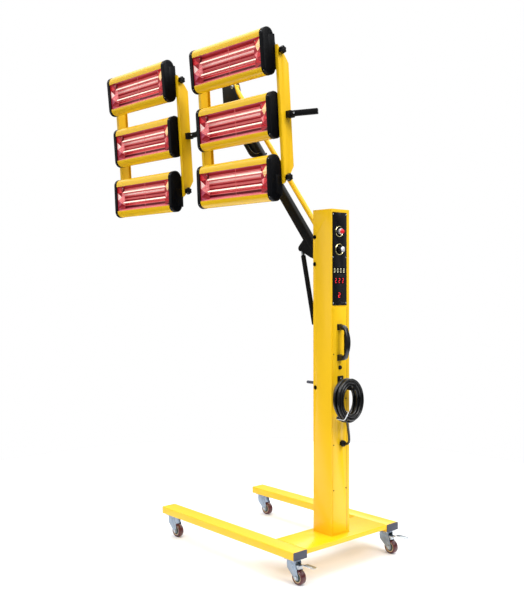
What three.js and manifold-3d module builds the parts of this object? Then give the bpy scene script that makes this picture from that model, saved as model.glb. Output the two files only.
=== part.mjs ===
// Infrared paint curing lamp: a wheeled stand, a gas-spring parallelogram arm and a head of six cassettes.
// Millimetres, +Z up. The legs point along -X, the control panel faces +X and the lamps face -Y.
// While it is built, X is 0 at the rear ends of the legs and Y is 0 on the centre line.

import * as THREE from 'three';
import { mergeVertices } from 'three/addons/utils/BufferGeometryUtils.js';
import Module from 'manifold-3d';

const wasm = await Module();
wasm.setup();

// Driving sizes

const gap = 0.3;
const bearing = 0.5;
const overrun = 5;
const weld = 0.0005;

const leg = {
  reach: 793.2,
  width: 64,
  height: 29,
  wall: 2,
  corner: 3,
  spread: 492.6,
  underside: 88,
  plugHead: 3,
  plugInsert: 14,
  drainRadius: 4,
};

const basePlate = {
  depth: 158,
  rearInset: 3,
  thickness: 2.5,
  lip: 17,
};

const castor = {
  wheelRadius: 26,
  wheelWidth: 23,
  boreRadius: 4,
  treadRound: 3.5,
  trail: 25,
  rearAxis: 33,
  frontInset: 41.2,
  plateSide: 56,
  plateThickness: 2.5,
  dishRadius: 20,
  dishDepth: 4,
  rivetRadius: 4.7,
  rivetHeadRadius: 8,
  rivetHead: 2.2,
  forkSheet: 2,
  forkTopHalf: 18,
  cheekGap: 1.2,
  cheekEndRadius: 10,
  cheekFromDegrees: 216,
  cheekToDegrees: 378,
  nutRadius: 7,
  nutHeight: 4,
  runningGap: 0.3,
};

const pedal = {
  reach: 106,
  width: 22,
  pivotX: 8,
  pivotDrop: 14.5,
  pinRadius: 2.5,
  bossRadius: 5,
  padClearance: 2.2,
  padThickness: 7,
  sheet: 2.4,
  step: 8.5,
  bendStart: 42,
  bendEnd: 58,
};

const column = {
  frontX: 137.2,
  depth: 94,
  width: 94.6,
  sheet: 2,
  slotHalf: 22,
  top: 1312,
  windowLow: 140,
  windowDrop: 24,
  windowLeft: 34,
  windowRight: 22,
  footSheet: 3,
};

const plate = {
  thickness: 1.5,
  left: 43,
  right: 31.5,
  coverLow: 125,
  seam: 5.5,
  panelHeight: 339.5,
  panelDrop: 12,
};

const plug = {
  radius: 6,
  y: -6,
  drop: 222,
  head: 2.5,
};

const switches = {
  y: -9,
  buttonDrop: 82,
  knobDrop: 147,
  bezelRadius: 20,
  knobBezelRadius: 21,
  bezelHeight: 4,
  bezelRound: 2,
  barrelRadius: 11,
  boreRadius: 7.5,
  boreDepth: 22,
  blockHalf: 15,
  blockLength: 38,
  buttonRadius: 9,
  buttonProud: 21,
  buttonTravel: 4,
  capRound: 2,
  knobRadius: 12,
  knobLength: 15,
  knobNose: 7,
};

const board = {
  drop: 344,
  height: 146,
  leftY: 30,
  rightY: 18,
  offset: 12,
  thickness: 1.6,
  standoffRadius: 3,
  standoffInset: 5,
  displayWidth: 40,
  displayHeight: 20,
  displayDrops: [224, 261, 314],
  relayWidth: 30,
  relayHeight: 50,
  relayDepth: 22,
  relayDrop: 302,
};

const handle = {
  y: -8,
  drop: 196,
  height: 132,
  standoff: 49,
  thickness: 15,
  footHeight: 20,
  width: 20,
  corner: 24,
  innerCorner: 12,
  round: 3,
};

const hook = {
  y: -4,
  plateWidth: 30,
  plateDrop: 315,
  plateHeight: 62,
  plateThickness: 3,
  armWidth: 12,
  armDrop: 292,
  armHeight: 9,
  reach: 74,
  tipHeight: 15,
  tipThickness: 5,
};

const gland = {
  y: 3,
  drop: 502,
  nutRadius: 10.5,
  nutLength: 10,
  reach: 24.4,
  domeRadius: 9,
  noseRadius: 6.6,
  threadRadius: 8,
  lockRadius: 12,
  lockLength: 5,
};

const cord = {
  radius: 4.5,
  sides: 6,
  leadSides: 10,
  leadSteps: 9,
  stepsPerTurn: 24,
  turnsPerLayer: 2.5,
  layers: 4,
  radialPitch: 10.6,
  layerPitch: 9.7,
  climbTurns: 0.5,
  coilLengthGuess: 3700,
  endStep: 0.01,
  halfWidth: 68,
  halfHeight: 79,
  startDegrees: 235,
  centreX: 3,
  centreY: 0,
  hang: 45,
};

// The free stretch of the lead, chosen by hand: out of the gland, up in one bend, over to the coil.
// X and Y are the model's, and the third number is the height above the gland.
const leadRoute = [
  [-16.7, 3, 0],
  [-8, 3, 0.4],
  [4, 2.5, 4.5],
  [14, 1, 13],
  [20.5, -2, 27],
  [22.3, -5.5, 44],
  [21, -9.5, 61],
  [18.8, -17, 77],
  [17.55, -25.5, 88.8],
  [17.55, -31.8, 93.9],
];

const tie = {
  degrees: 262,
  thickness: 1.6,
  width: 6,
  clearance: 0.5,
};

const pivots = {
  armX: 129,
  armDrop: 200,
  spacing: 100,
  springX: 126,
  springDrop: 457.5,
  boltRadius: 4,
  boltHeadRadius: 6,
  boltHead: 3.5,
  spacerRadius: 9,
  stubEnd: 8,
  runningGap: 0.3,
};

const peg = {
  y: -34.7,
  rise: 15.3,
  radius: 5.5,
  reach: 44,
  round: 1.5,
};

const footBolt = {
  radius: 4,
  headRadius: 6.5,
  head: 5,
  inset: 16,
};

const arm = {
  reach: 833,
  depth: 38,
  width: 25,
  wall: 2,
  corner: 3,
  tail: 20,
};
const armDegrees = 51.69;

const spring = {
  pinAlong: 122,
  pinBelow: 51,
  earInner: 5.3,
  earSheet: 4,
  earRadius: 12,
  earToe: 84,
  earKnee: 61.2,
  earKneeDrop: 31.9,
  earHeel: 15.6,
  earFromDegrees: 156.6,
  pinRadius: 3.7,
  pinHead: 1.8,
  pinHeadRadius: 6,
  eyeRadius: 8,
  eyeHalfWidth: 5,
  neckRadius: 4.5,
  bodyStart: 28,
  bodyLength: 270,
  bodyRadius: 9.25,
  bodyWall: 1.5,
  bodyRound: 1.5,
  mouthLength: 9,
  rodRadius: 4,
  pistonRadius: 7.3,
  pistonLength: 12,
  insertion: 55,
};

const shroud = {
  startFromEye: 261,
  endFromEye: 63,
  sideTop: 6,
  drop: 42,
  roundLength: 53,
  roundSteps: 8,
  wall: 2.6,
};

const linkRod = {
  radius: 10,
  eyeRadius: 12,
};

const bracket = {
  inner: 12.8,
  sheet: 4.2,
  web: 4,
  footLength: 67,
  footHalfWidth: 20,
  footSheet: 6,
};
// Side view of the head bracket, in shares of the pivot spacing, from the lower pivot
const bracketOutlineShares = [
  [-0.55, -0.26],
  [-0.7, 1.22],
  [0.02, 1.22],
  [0.1, 1.04],
  [0.18, 0.75],
  [0.42, 0.36],
  [0.46, 0.05],
  [0.4, -0.26],
];

const swivel = {
  ahead: 59.61,
  pinRadius: 10,
  pinDrop: 127.63,
  pinHeadRadius: 17,
  pinHead: 5,
  hubRadius: 22.5,
  connectorWidth: 30,
  connectorHeight: 26,
  ringRadius: 22,
  ringLength: 36,
  ringAside: 35.5,
  elbowFront: 26,
  elbowDepth: 20,
};

const head = {
  behind: 297,
  y: 190,
  drop: 109.63,
  bankPitch: 595,
  rowPitch: 229,
};
const headYawDegrees = 1.98;
const headPitchDegrees = 4.1;

const crossbar = {
  side: 20,
  setBack: 46,
  leftEnd: 240,
  bendAlong: 268,
  endAlong: 338,
  endBack: 90,
  journalRadius: 15,
  shoulderRadius: 19,
  shoulder: 6,
};

const yoke = {
  outer: 233,
  flange: 14,
  sheet: 2,
  front: 10,
  rear: 62,
  halfHeight: 251,
  chamferB: 45,
  chamferC: 213,
  chamferLowC: 187,
  sleeve: 25,
  sleeveLength: 32,
  screwRadius: 4,
  screwHead: 1.5,
  screwInset: 16,
};

const cassette = {
  span: 431,
  capLength: 21,
  height: 170,
  depth: 53,
  sheet: 1.4,
  windowHalfA: 190,
  windowLow: 57,
  windowHigh: 52,
  setForward: 15,
  pivotB: 22,
  capProud: 1,
  capRim: 3,
  capStep: 8,
  capStepHalf: 64,
  earSheet: 4,
  earRadius: 11,
  earTop: 58,
  bossRadius: 7,
  topDegrees: 1.4,
  bottomDegrees: -1.6,
};

const lamp = {
  reflectorSheet: 1,
  mouthB: -23,
  floorB: 8,
  floorHalf: 30,
  mouthHalf: 56,
  endSlope: 22,
  tubeRadius: 5.5,
  tubeB: -6,
  tubeC: 23,
  tubeLength: 366,
  holderLength: 16,
  holderSide: 14,
  backStrut: 6,
  strutInset: 44,
  tabSheet: 3,
  tabHalf: 10,
};

const knob = {
  lobes: 6,
  radius: 15,
  lobeDepth: 2.5,
  reach: 20,
  collarRadius: 8,
  collar: 4,
  studRadius: 4,
  studEnd: 2,
};

// Helpers: every shape is a closed three.js geometry, and joins and cuts are made on solids

const planeXZ = new THREE.Matrix4().makeBasis(
  new THREE.Vector3(1, 0, 0),
  new THREE.Vector3(0, 0, 1),
  new THREE.Vector3(0, -1, 0),
);
const planeYZ = new THREE.Matrix4().makeBasis(
  new THREE.Vector3(0, 1, 0),
  new THREE.Vector3(0, 0, 1),
  new THREE.Vector3(1, 0, 0),
);
const radians = THREE.MathUtils.degToRad;

function indexedMesh(geometry) {
  const plain = geometry.index ? geometry.toNonIndexed() : geometry.clone();
  for (const name of Object.keys(plain.attributes)) {
    if (name !== 'position') plain.deleteAttribute(name);
  }
  const merged = mergeVertices(plain, weld);
  const corners = merged.index.array;
  const triangles = [];
  for (let i = 0; i < corners.length; i += 3) {
    const [a, b, c] = [corners[i], corners[i + 1], corners[i + 2]];
    if (a !== b && b !== c && c !== a) triangles.push(a, b, c);
  }
  return { points: merged.attributes.position, triangles };
}

function signedVolume(points, triangles) {
  const [p, q, r] = [new THREE.Vector3(), new THREE.Vector3(), new THREE.Vector3()];
  let sum = 0;
  for (let i = 0; i < triangles.length; i += 3) {
    p.fromBufferAttribute(points, triangles[i]);
    q.fromBufferAttribute(points, triangles[i + 1]);
    r.fromBufferAttribute(points, triangles[i + 2]);
    sum += p.dot(q.cross(r));
  }
  return sum;
}

function solid(item) {
  if (item instanceof wasm.Manifold) return item;
  const { points, triangles } = indexedMesh(item);
  if (signedVolume(points, triangles) < 0) triangles.reverse();
  const mesh = new wasm.Mesh({
    numProp: 3,
    vertProperties: Float32Array.from(points.array),
    triVerts: Uint32Array.from(triangles),
  });
  return new wasm.Manifold(mesh);
}

function join(...items) {
  return items.map(solid).reduce((all, item) => all.add(item));
}

function cut(body, ...tools) {
  return tools.map(solid).reduce((left, tool) => left.subtract(tool), solid(body));
}

function common(first, second) {
  return solid(first).intersect(solid(second));
}

function geometryOf(item) {
  const axes = 3;
  const mesh = solid(item).getMesh();
  const geometry = new THREE.BufferGeometry();
  const corners = new Float32Array(mesh.triVerts.length * axes);
  mesh.triVerts.forEach((vertex, i) => {
    const from = vertex * mesh.numProp;
    corners.set(mesh.vertProperties.slice(from, from + axes), i * axes);
  });
  geometry.setAttribute('position', new THREE.BufferAttribute(corners, axes));
  geometry.computeVertexNormals();
  return geometry;
}

function block(x0, x1, y0, y1, z0, z1) {
  const box = new THREE.BoxGeometry(x1 - x0, y1 - y0, z1 - z0);
  return box.translate((x0 + x1) / 2, (y0 + y1) / 2, (z0 + z1) / 2);
}

function outline(points) {
  return new THREE.Shape(points.map(([x, y]) => new THREE.Vector2(x, y)));
}

function prism(shape, length, curveSegments = 6) {
  return new THREE.ExtrudeGeometry(shape, { depth: length, bevelEnabled: false, curveSegments });
}

// A shape drawn in X and Z, from y0 to y1
function prismXZ(shape, y0, y1, curveSegments) {
  return prism(shape, y1 - y0, curveSegments).applyMatrix4(planeXZ).translate(0, y1, 0);
}

// A shape drawn in Y and Z, from x0 to x1
function prismYZ(shape, x0, x1, curveSegments) {
  return prism(shape, x1 - x0, curveSegments).applyMatrix4(planeYZ).translate(x0, 0, 0);
}

// A shape drawn in X and Y, from z0 to z1
function prismXY(shape, z0, z1, curveSegments) {
  return prism(shape, z1 - z0, curveSegments).translate(0, 0, z0);
}

function roundedRectangle(x0, x1, y0, y1, radius) {
  const shape = new THREE.Shape();
  shape.absarc(x1 - radius, y0 + radius, radius, -Math.PI / 2, 0);
  shape.absarc(x1 - radius, y1 - radius, radius, 0, Math.PI / 2);
  shape.absarc(x0 + radius, y1 - radius, radius, Math.PI / 2, Math.PI);
  shape.absarc(x0 + radius, y0 + radius, radius, Math.PI, Math.PI * 1.5);
  return shape;
}

// A solid of revolution about Z: the profile holds [radius, height] pairs and starts and ends on the axis
function turned(profile, sides = 16) {
  const points = profile.map(([radius, height]) => new THREE.Vector2(radius, height));
  return new THREE.LatheGeometry(points, sides).rotateX(Math.PI / 2);
}

function turnedX(profile, sides) {
  return turned(profile, sides).rotateY(Math.PI / 2);
}

function barZ(radius, z0, z1, sides = 12) {
  return new THREE.CylinderGeometry(radius, radius, z1 - z0, sides)
    .rotateX(Math.PI / 2)
    .translate(0, 0, (z0 + z1) / 2);
}

function barX(radius, x0, x1, sides = 12) {
  return new THREE.CylinderGeometry(radius, radius, x1 - x0, sides)
    .rotateZ(Math.PI / 2)
    .translate((x0 + x1) / 2, 0, 0);
}

function barY(radius, y0, y1, sides = 12) {
  return new THREE.CylinderGeometry(radius, radius, y1 - y0, sides).translate(0, (y0 + y1) / 2, 0);
}

// Materials

const steelPaint = { metalness: 0.1, roughness: 0.42 };
const materials = {
  yellow: new THREE.MeshStandardMaterial({ color: 0xf7c313, ...steelPaint }),
  black: new THREE.MeshStandardMaterial({ color: 0x16171a, ...steelPaint }),
  zinc: new THREE.MeshStandardMaterial({ color: 0xb9c0c4, metalness: 0.85, roughness: 0.35 }),
  blackBolts: new THREE.MeshStandardMaterial({ color: 0x1b1b1d, metalness: 0.6, roughness: 0.4 }),
  tyre: new THREE.MeshStandardMaterial({ color: 0x5a1f22, metalness: 0, roughness: 0.45 }),
  plug: new THREE.MeshStandardMaterial({ color: 0x4a4b55, metalness: 0, roughness: 0.6 }),
  panel: new THREE.MeshStandardMaterial({ color: 0x101114, metalness: 0, roughness: 0.35 }),
  board: new THREE.MeshStandardMaterial({ color: 0x1f5a35, metalness: 0, roughness: 0.6 }),
  plastic: new THREE.MeshStandardMaterial({ color: 0x141416, metalness: 0, roughness: 0.5 }),
  red: new THREE.MeshStandardMaterial({ color: 0xd61f26, metalness: 0, roughness: 0.35 }),
  cable: new THREE.MeshStandardMaterial({ color: 0x17181a, metalness: 0, roughness: 0.55 }),
  tie: new THREE.MeshStandardMaterial({ color: 0xe9eaea, metalness: 0, roughness: 0.5 }),
};

function addNode(parent, name, item, material) {
  const node = new THREE.Mesh(geometryOf(item), material);
  node.name = name;
  parent.add(node);
  return node;
}

function addGroup(parent, x, y, z) {
  const group = new THREE.Group();
  group.position.set(x, y, z);
  parent.add(group);
  return group;
}

const lampStand = new THREE.Group();
const deckTop = leg.underside + leg.height;
const legY = leg.spread / 2;

// Base: two legs, each a tube with its end plugs and castor mounting plates, joined by a folded plate

const castorPlateLow = leg.underside - gap - castor.plateThickness;
const dishLow = castorPlateLow - castor.dishDepth;
const forkTop = dishLow - gap;
const forkUnder = forkTop - castor.forkSheet;
const rivetLow = forkUnder - gap - castor.rivetHead;
const frontAxis = leg.reach - castor.frontInset;

function legTube() {
  const half = leg.width / 2;
  const section = roundedRectangle(-half, half, leg.underside, deckTop, leg.corner);
  const low = leg.underside + leg.wall;
  const hole = roundedRectangle(leg.wall - half, half - leg.wall, low, deckTop - leg.wall, leg.wall);
  section.holes.push(hole);
  const tube = prismYZ(section, -leg.reach, 0, 2);
  const drain = barZ(leg.drainRadius, leg.underside - overrun, low + overrun);
  return cut(tube, drain.translate(-leg.reach / 2, 0, 0));
}

// One end plug, its head's outer face at x = 0 and its insert towards -X
function legPlug() {
  const half = leg.width / 2;
  const inner = half - leg.wall - gap;
  const section = roundedRectangle(-half, half, leg.underside, deckTop, leg.corner);
  const face = prismYZ(section, -leg.plugHead, 0, 2);
  const low = leg.underside + leg.wall + gap;
  const high = deckTop - leg.wall - gap;
  return join(face, block(-leg.plugHead - leg.plugInsert, -leg.plugHead / 2, -inner, inner, low, high));
}

// Mounting plate with its raceway dish and the king rivet that holds the fork
function castorPlate() {
  const half = castor.plateSide / 2;
  const top = leg.underside + gap;
  const square = roundedRectangle(-half, half, -half, half, castor.cheekEndRadius);
  const flange = prismXY(square, castorPlateLow, top, 2);
  const raceway = turned([
    [0, rivetLow],
    [castor.rivetHeadRadius, rivetLow],
    [castor.rivetHeadRadius, forkUnder - gap],
    [castor.rivetRadius, forkUnder - gap],
    [castor.rivetRadius, dishLow],
    [castor.dishRadius - castor.dishDepth, dishLow],
    [castor.dishRadius, castorPlateLow + gap],
    [0, castorPlateLow + gap],
  ], 10);
  return join(flange, raceway);
}

function baseLeg() {
  return join(
    legTube(),
    legPlug(),
    geometryOf(legPlug()).rotateZ(Math.PI).translate(-leg.reach, 0, 0),
    geometryOf(castorPlate()).translate(-castor.rearAxis, 0, 0),
    geometryOf(castorPlate()).translate(-frontAxis, 0, 0),
  );
}

addNode(addGroup(lampStand, 0, -legY, 0), 'base_leg_left', baseLeg(), materials.yellow);
addNode(addGroup(lampStand, 0, legY, 0), 'base_leg_right', baseLeg(), materials.yellow);

function crossPlate() {
  const rear = -basePlate.rearInset;
  const front = rear - basePlate.depth;
  const half = legY - leg.width / 2 - gap;
  const under = deckTop - basePlate.thickness;
  const pan = block(front, rear, -half, half, deckTop - basePlate.lip, deckTop);
  const inside = block(
    front + basePlate.thickness,
    rear - basePlate.thickness,
    -half - overrun,
    half + overrun,
    deckTop - basePlate.lip - overrun,
    under,
  );
  const floor = deckTop + gap + column.footSheet + gap;
  const studs = footBoltPlaces().map(([x, y]) => join(
    barZ(footBolt.radius, under - footBolt.head, floor + footBolt.head, 6).translate(x, y, 0),
    barZ(footBolt.headRadius, floor, floor + footBolt.head, 6).translate(x, y, 0),
    barZ(footBolt.headRadius, under - footBolt.head, under + gap, 6).translate(x, y, 0),
  ));
  return join(cut(pan, inside), ...studs);
}

function footBoltPlaces() {
  const midX = column.depth / 2 - column.frontX;
  const alongX = column.depth / 2 - footBolt.inset;
  const alongY = column.width / 2 - footBolt.inset;
  return [-1, 1].flatMap((i) => [-1, 1].map((j) => [midX + i * alongX, j * alongY]));
}

addNode(lampStand, 'base_plate', crossPlate(), materials.yellow);

// Castors: swivelling fork with axle, wheel, brake pedal

const cheekInner = castor.wheelWidth / 2 + castor.cheekGap;
const cheekOuter = cheekInner + castor.forkSheet;

function castorFork() {
  const half = castor.forkTopHalf;
  const axleX = castor.trail;
  const axleZ = castor.wheelRadius;
  const end = castor.cheekEndRadius;
  const cheek = new THREE.Shape();
  cheek.moveTo(-half, forkTop);
  cheek.lineTo(-half, forkTop - half);
  cheek.absarc(axleX, axleZ, end, radians(castor.cheekFromDegrees), radians(castor.cheekToDegrees));
  cheek.lineTo(half, forkTop - half);
  cheek.lineTo(half, forkTop);
  const cheeks = prismXZ(cheek, -cheekOuter, cheekOuter, 3);
  const inside = block(
    -half - overrun,
    axleX + end + overrun,
    -cheekInner,
    cheekInner,
    axleZ - end - overrun,
    forkUnder,
  );
  const nutEnd = cheekOuter + castor.nutHeight;
  const axle = barY(castor.boreRadius - castor.runningGap, -nutEnd, nutEnd).translate(axleX, 0, axleZ);
  const nuts = [-1, 1].map((side) => {
    const from = side < 0 ? -nutEnd : cheekOuter - gap;
    return barY(castor.nutRadius, from, from + castor.nutHeight + gap, 6).translate(axleX, 0, axleZ);
  });
  const hole = barZ(castor.rivetRadius + castor.runningGap, forkUnder - overrun, forkTop + overrun);
  return cut(join(cut(cheeks, inside), axle, ...nuts), hole);
}

// A flat lies under the wheel, so the corners stand a little outside the rolling radius
const wheelSides = 20;

function castorWheel() {
  const half = castor.wheelWidth / 2;
  const outer = castor.wheelRadius / Math.cos(Math.PI / wheelSides);
  const profile = [
    [castor.boreRadius, -half],
    [outer - castor.treadRound, -half],
    [outer, castor.treadRound - half],
    [outer, half - castor.treadRound],
    [outer - castor.treadRound, half],
    [castor.boreRadius, half],
    [castor.boreRadius, -half],
  ];
  return turned(profile, wheelSides).rotateZ(Math.PI / wheelSides).rotateX(Math.PI / 2);
}

const pedalPivotZ = forkTop - pedal.pivotDrop;

function pedalPin() {
  const pin = barY(pedal.pinRadius, -cheekOuter - gap, cheekOuter + gap, 12);
  return pin.translate(pedal.pivotX, 0, pedalPivotZ);
}

function brakePedal() {
  const top = pedalPivotZ + pedal.sheet;
  const padLow = castor.wheelRadius * 2 + pedal.padClearance;
  const padX = castor.trail;
  const step = pedal.step;
  const plateEnd = pedal.reach;
  const side = outline([
    [pedal.pivotX, top - pedal.sheet],
    [padX, top - pedal.sheet],
    [padX, padLow],
    [padX + pedal.padThickness, padLow],
    [padX + pedal.padThickness, top - pedal.sheet],
    [pedal.bendStart, top - pedal.sheet],
    [pedal.bendEnd, top + step - pedal.sheet],
    [plateEnd, top + step - pedal.sheet],
    [plateEnd, top + step],
    [pedal.bendEnd - pedal.sheet, top + step],
    [pedal.bendStart - pedal.sheet, top],
    [pedal.pivotX, top],
  ]);
  const half = pedal.width / 2;
  const plan = new THREE.Shape();
  plan.moveTo(pedal.pivotX - pedal.bossRadius, -half);
  plan.lineTo(plateEnd - half, -half);
  plan.absarc(plateEnd - half, 0, half, -Math.PI / 2, Math.PI / 2);
  plan.lineTo(pedal.pivotX - pedal.bossRadius, half);
  const planSolid = prismXY(plan, padLow - overrun, top + step + overrun, 6);
  const blank = common(prismXZ(side, -half, half), planSolid);
  const boss = barY(pedal.bossRadius, -half, half).translate(pedal.pivotX, 0, pedalPivotZ);
  const bore = barY(pedal.pinRadius + castor.runningGap, -half - overrun, half + overrun, 12);
  return cut(join(blank, boss), bore.translate(pedal.pivotX, 0, pedalPivotZ));
}

for (const [end, axisX] of [['front', frontAxis], ['rear', castor.rearAxis]]) {
  for (const [side, sign] of [['left', -1], ['right', 1]]) {
    const place = addGroup(lampStand, -axisX, sign * legY, 0);
    const fork = end === 'rear' ? join(castorFork(), pedalPin()) : castorFork();
    addNode(place, `castor_fork_${end}_${side}`, fork, materials.zinc);
    const wheel = geometryOf(castorWheel()).translate(castor.trail, 0, castor.wheelRadius);
    addNode(place, `castor_wheel_${end}_${side}`, wheel, materials.tyre);
    if (end === 'rear') addNode(place, `brake_pedal_${side}`, brakePedal(), materials.zinc);
  }
}

// Column: one folded sheet with lips beside the front slot, a lid, a foot plate and a window at the back

const columnFront = -column.frontX;
const columnBack = columnFront + column.depth;
const columnHalf = column.width / 2;
const wallInner = columnHalf - column.sheet;
const armZ = column.top - pivots.armDrop;
const linkZ = armZ + pivots.spacing;
const springZ = armZ - pivots.springDrop;
const pegZ = springZ + peg.rise;
const panelHigh = column.top - plate.panelDrop;
const panelLow = panelHigh - plate.panelHeight;
const coverHigh = panelLow - plate.seam;
const hookTop = coverHigh - hook.armDrop;
const glandZ = coverHigh - gland.drop;
const coilZ = hookTop - cord.hang;

function columnBody() {
  const low = deckTop + gap;
  const shell = block(columnFront, columnBack, -columnHalf, columnHalf, low, column.top);
  const hollow = block(
    columnFront + column.sheet,
    columnBack - column.sheet,
    -wallInner,
    wallInner,
    low + column.footSheet,
    column.top - column.sheet,
  );
  const slot = block(
    columnFront - overrun,
    columnFront + column.sheet + overrun,
    -column.slotHalf,
    column.slotHalf,
    low + column.footSheet,
    column.top - column.sheet,
  );
  const window = block(
    columnBack - column.sheet - overrun,
    columnBack + overrun,
    -column.windowLeft,
    column.windowRight,
    column.windowLow,
    column.top - column.windowDrop,
  );
  const bridgeMid = (coverHigh + panelLow) / 2;
  const bridge = block(
    columnBack - column.sheet,
    columnBack,
    -column.windowLeft - column.sheet,
    column.windowRight + column.sheet,
    bridgeMid - hook.armWidth,
    bridgeMid + hook.armWidth,
  );
  const bolts = [
    [-pivots.armX, armZ],
    [-pivots.armX, linkZ],
    [-pivots.springX, springZ],
  ].map(([x, z]) => {
    const reach = columnHalf + overrun;
    return barY(pivots.boltRadius + gap, -reach, reach).translate(x, 0, z);
  });
  const feet = footBoltPlaces().map(([x, y]) => {
    const hole = barZ(footBolt.radius + gap, low - overrun, low + column.footSheet + overrun, 8);
    return hole.translate(x, y, 0);
  });
  const lipBack = columnFront + column.sheet;
  const pegHole = barX(peg.radius / 2 + gap, columnFront - overrun, lipBack + overrun, 12);
  return cut(
    join(cut(shell, hollow, slot, window), bridge),
    ...bolts,
    ...feet,
    pegHole.translate(0, peg.y, pegZ),
  );
}

addNode(lampStand, 'column_body', columnBody(), materials.yellow);

// Plates on the back of the column

const plateInner = columnBack + gap;
const plateOuter = plateInner + plate.thickness;

function backPlate(low, high) {
  return block(plateInner, plateOuter, -plate.left, plate.right, low, high);
}

// The round plug that closes a hole in the cover
function coverPlug() {
  return turnedX([
    [0, plateInner],
    [plug.radius / 2, plateInner],
    [plug.radius / 2, plateOuter - gap],
    [plug.radius, plateOuter - gap],
    [plug.radius, plateOuter + plug.head],
    [0, plateOuter + plug.head],
  ], 10).translate(0, plug.y, coverHigh - plug.drop);
}

function roundHole(radius, y, z) {
  return barX(radius + gap, plateInner - overrun, plateOuter + overrun, 24).translate(0, y, z);
}

const cover = join(
  cut(backPlate(plate.coverLow, coverHigh), roundHole(gland.threadRadius, gland.y, glandZ)),
  coverPlug(),
);
addNode(lampStand, 'rear_cover', cover, materials.yellow);

const buttonZ = column.top - switches.buttonDrop;
const knobZ = column.top - switches.knobDrop;
const panel = cut(
  backPlate(panelLow, panelHigh),
  roundHole(switches.barrelRadius, switches.y, buttonZ),
  roundHole(switches.barrelRadius, switches.y, knobZ),
);
addNode(lampStand, 'control_panel', panel, materials.panel);

// Switch bodies through the panel, and the board with its displays behind it

function switchBody(bezelRadius) {
  const front = plateOuter + gap;
  const back = plateInner - gap - switches.blockLength;
  const half = switches.blockHalf;
  const turnedPart = turnedX([
    [0, back],
    [switches.barrelRadius, back],
    [switches.barrelRadius, front],
    [bezelRadius, front],
    [bezelRadius, front + switches.bezelHeight - switches.bezelRound],
    [bezelRadius - switches.bezelRound, front + switches.bezelHeight],
    [0, front + switches.bezelHeight],
  ], 16);
  const contacts = block(back, plateInner - switches.boreRadius, -half, half, -half, half);
  const bore = barX(
    switches.boreRadius,
    front + switches.bezelHeight - switches.boreDepth,
    front + switches.bezelHeight + overrun,
    12,
  );
  return cut(join(turnedPart, contacts), bore);
}

function controlBoard() {
  const back = plateInner - gap - board.offset;
  const low = column.top - board.drop;
  const high = low + board.height;
  const sheet = block(back - board.thickness, back, -board.leftY, board.rightY, low, high);
  const inset = board.standoffInset;
  const corners = [-board.leftY + inset, board.rightY - inset].flatMap((y) => {
    return [low + inset, high - inset].map((z) => [y, z]);
  });
  const standoffs = corners.map(([y, z]) => {
    return barX(board.standoffRadius, back - gap, plateInner - gap, 12).translate(0, y, z);
  });
  const midY = (board.rightY - board.leftY) / 2;
  const displays = board.displayDrops.map((drop) => column.top - drop).map((z) => block(
    back - gap,
    plateInner - gap,
    midY - board.displayWidth / 2,
    midY + board.displayWidth / 2,
    z - board.displayHeight / 2,
    z + board.displayHeight / 2,
  ));
  const relayZ = column.top - board.relayDrop;
  const relay = block(
    back - board.thickness - board.relayDepth,
    back - board.thickness / 2,
    midY - board.relayWidth / 2,
    midY + board.relayWidth / 2,
    relayZ - board.relayHeight / 2,
    relayZ + board.relayHeight / 2,
  );
  return join(sheet, ...standoffs, ...displays, relay);
}

const buttonPlace = addGroup(lampStand, 0, switches.y, buttonZ);
const knobPlace = addGroup(lampStand, 0, switches.y, knobZ);
addNode(buttonPlace, 'button_switch', switchBody(switches.bezelRadius), materials.zinc);
addNode(knobPlace, 'knob_switch', switchBody(switches.knobBezelRadius), materials.zinc);
addNode(lampStand, 'control_board', controlBoard(), materials.board);

const bezelFront = plateOuter + gap + switches.bezelHeight;

function pushButton() {
  const plungerRadius = switches.boreRadius - gap;
  const capBack = bezelFront + switches.buttonTravel + gap;
  const front = plateOuter + switches.buttonProud;
  const plungerEnd = bezelFront - switches.boreDepth + switches.buttonTravel + gap;
  return turnedX([
    [0, plungerEnd],
    [plungerRadius, plungerEnd],
    [plungerRadius, capBack],
    [switches.buttonRadius, capBack],
    [switches.buttonRadius, front - switches.capRound],
    [switches.buttonRadius - switches.capRound, front],
    [0, front],
  ], 14);
}

function rotaryKnob() {
  const spindle = switches.boreRadius - gap;
  const back = bezelFront + gap;
  const end = bezelFront - switches.boreDepth + gap;
  const front = back + switches.knobLength;
  const body = turnedX([
    [0, end],
    [spindle, end],
    [spindle, back],
    [switches.knobRadius, back],
    [switches.knobRadius - switches.capRound / 2, front - switches.capRound],
    [switches.knobRadius - switches.capRound, front],
    [switches.knobNose, front],
    [switches.knobNose, front + switches.capRound],
    [0, front + switches.capRound],
  ], 14);
  return body;
}

addNode(buttonPlace, 'push_button', pushButton(), materials.red);
addNode(knobPlace, 'rotary_knob', rotaryKnob(), materials.plastic);

// Bow handle: two feet on the cover and a rounded grip between them

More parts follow.
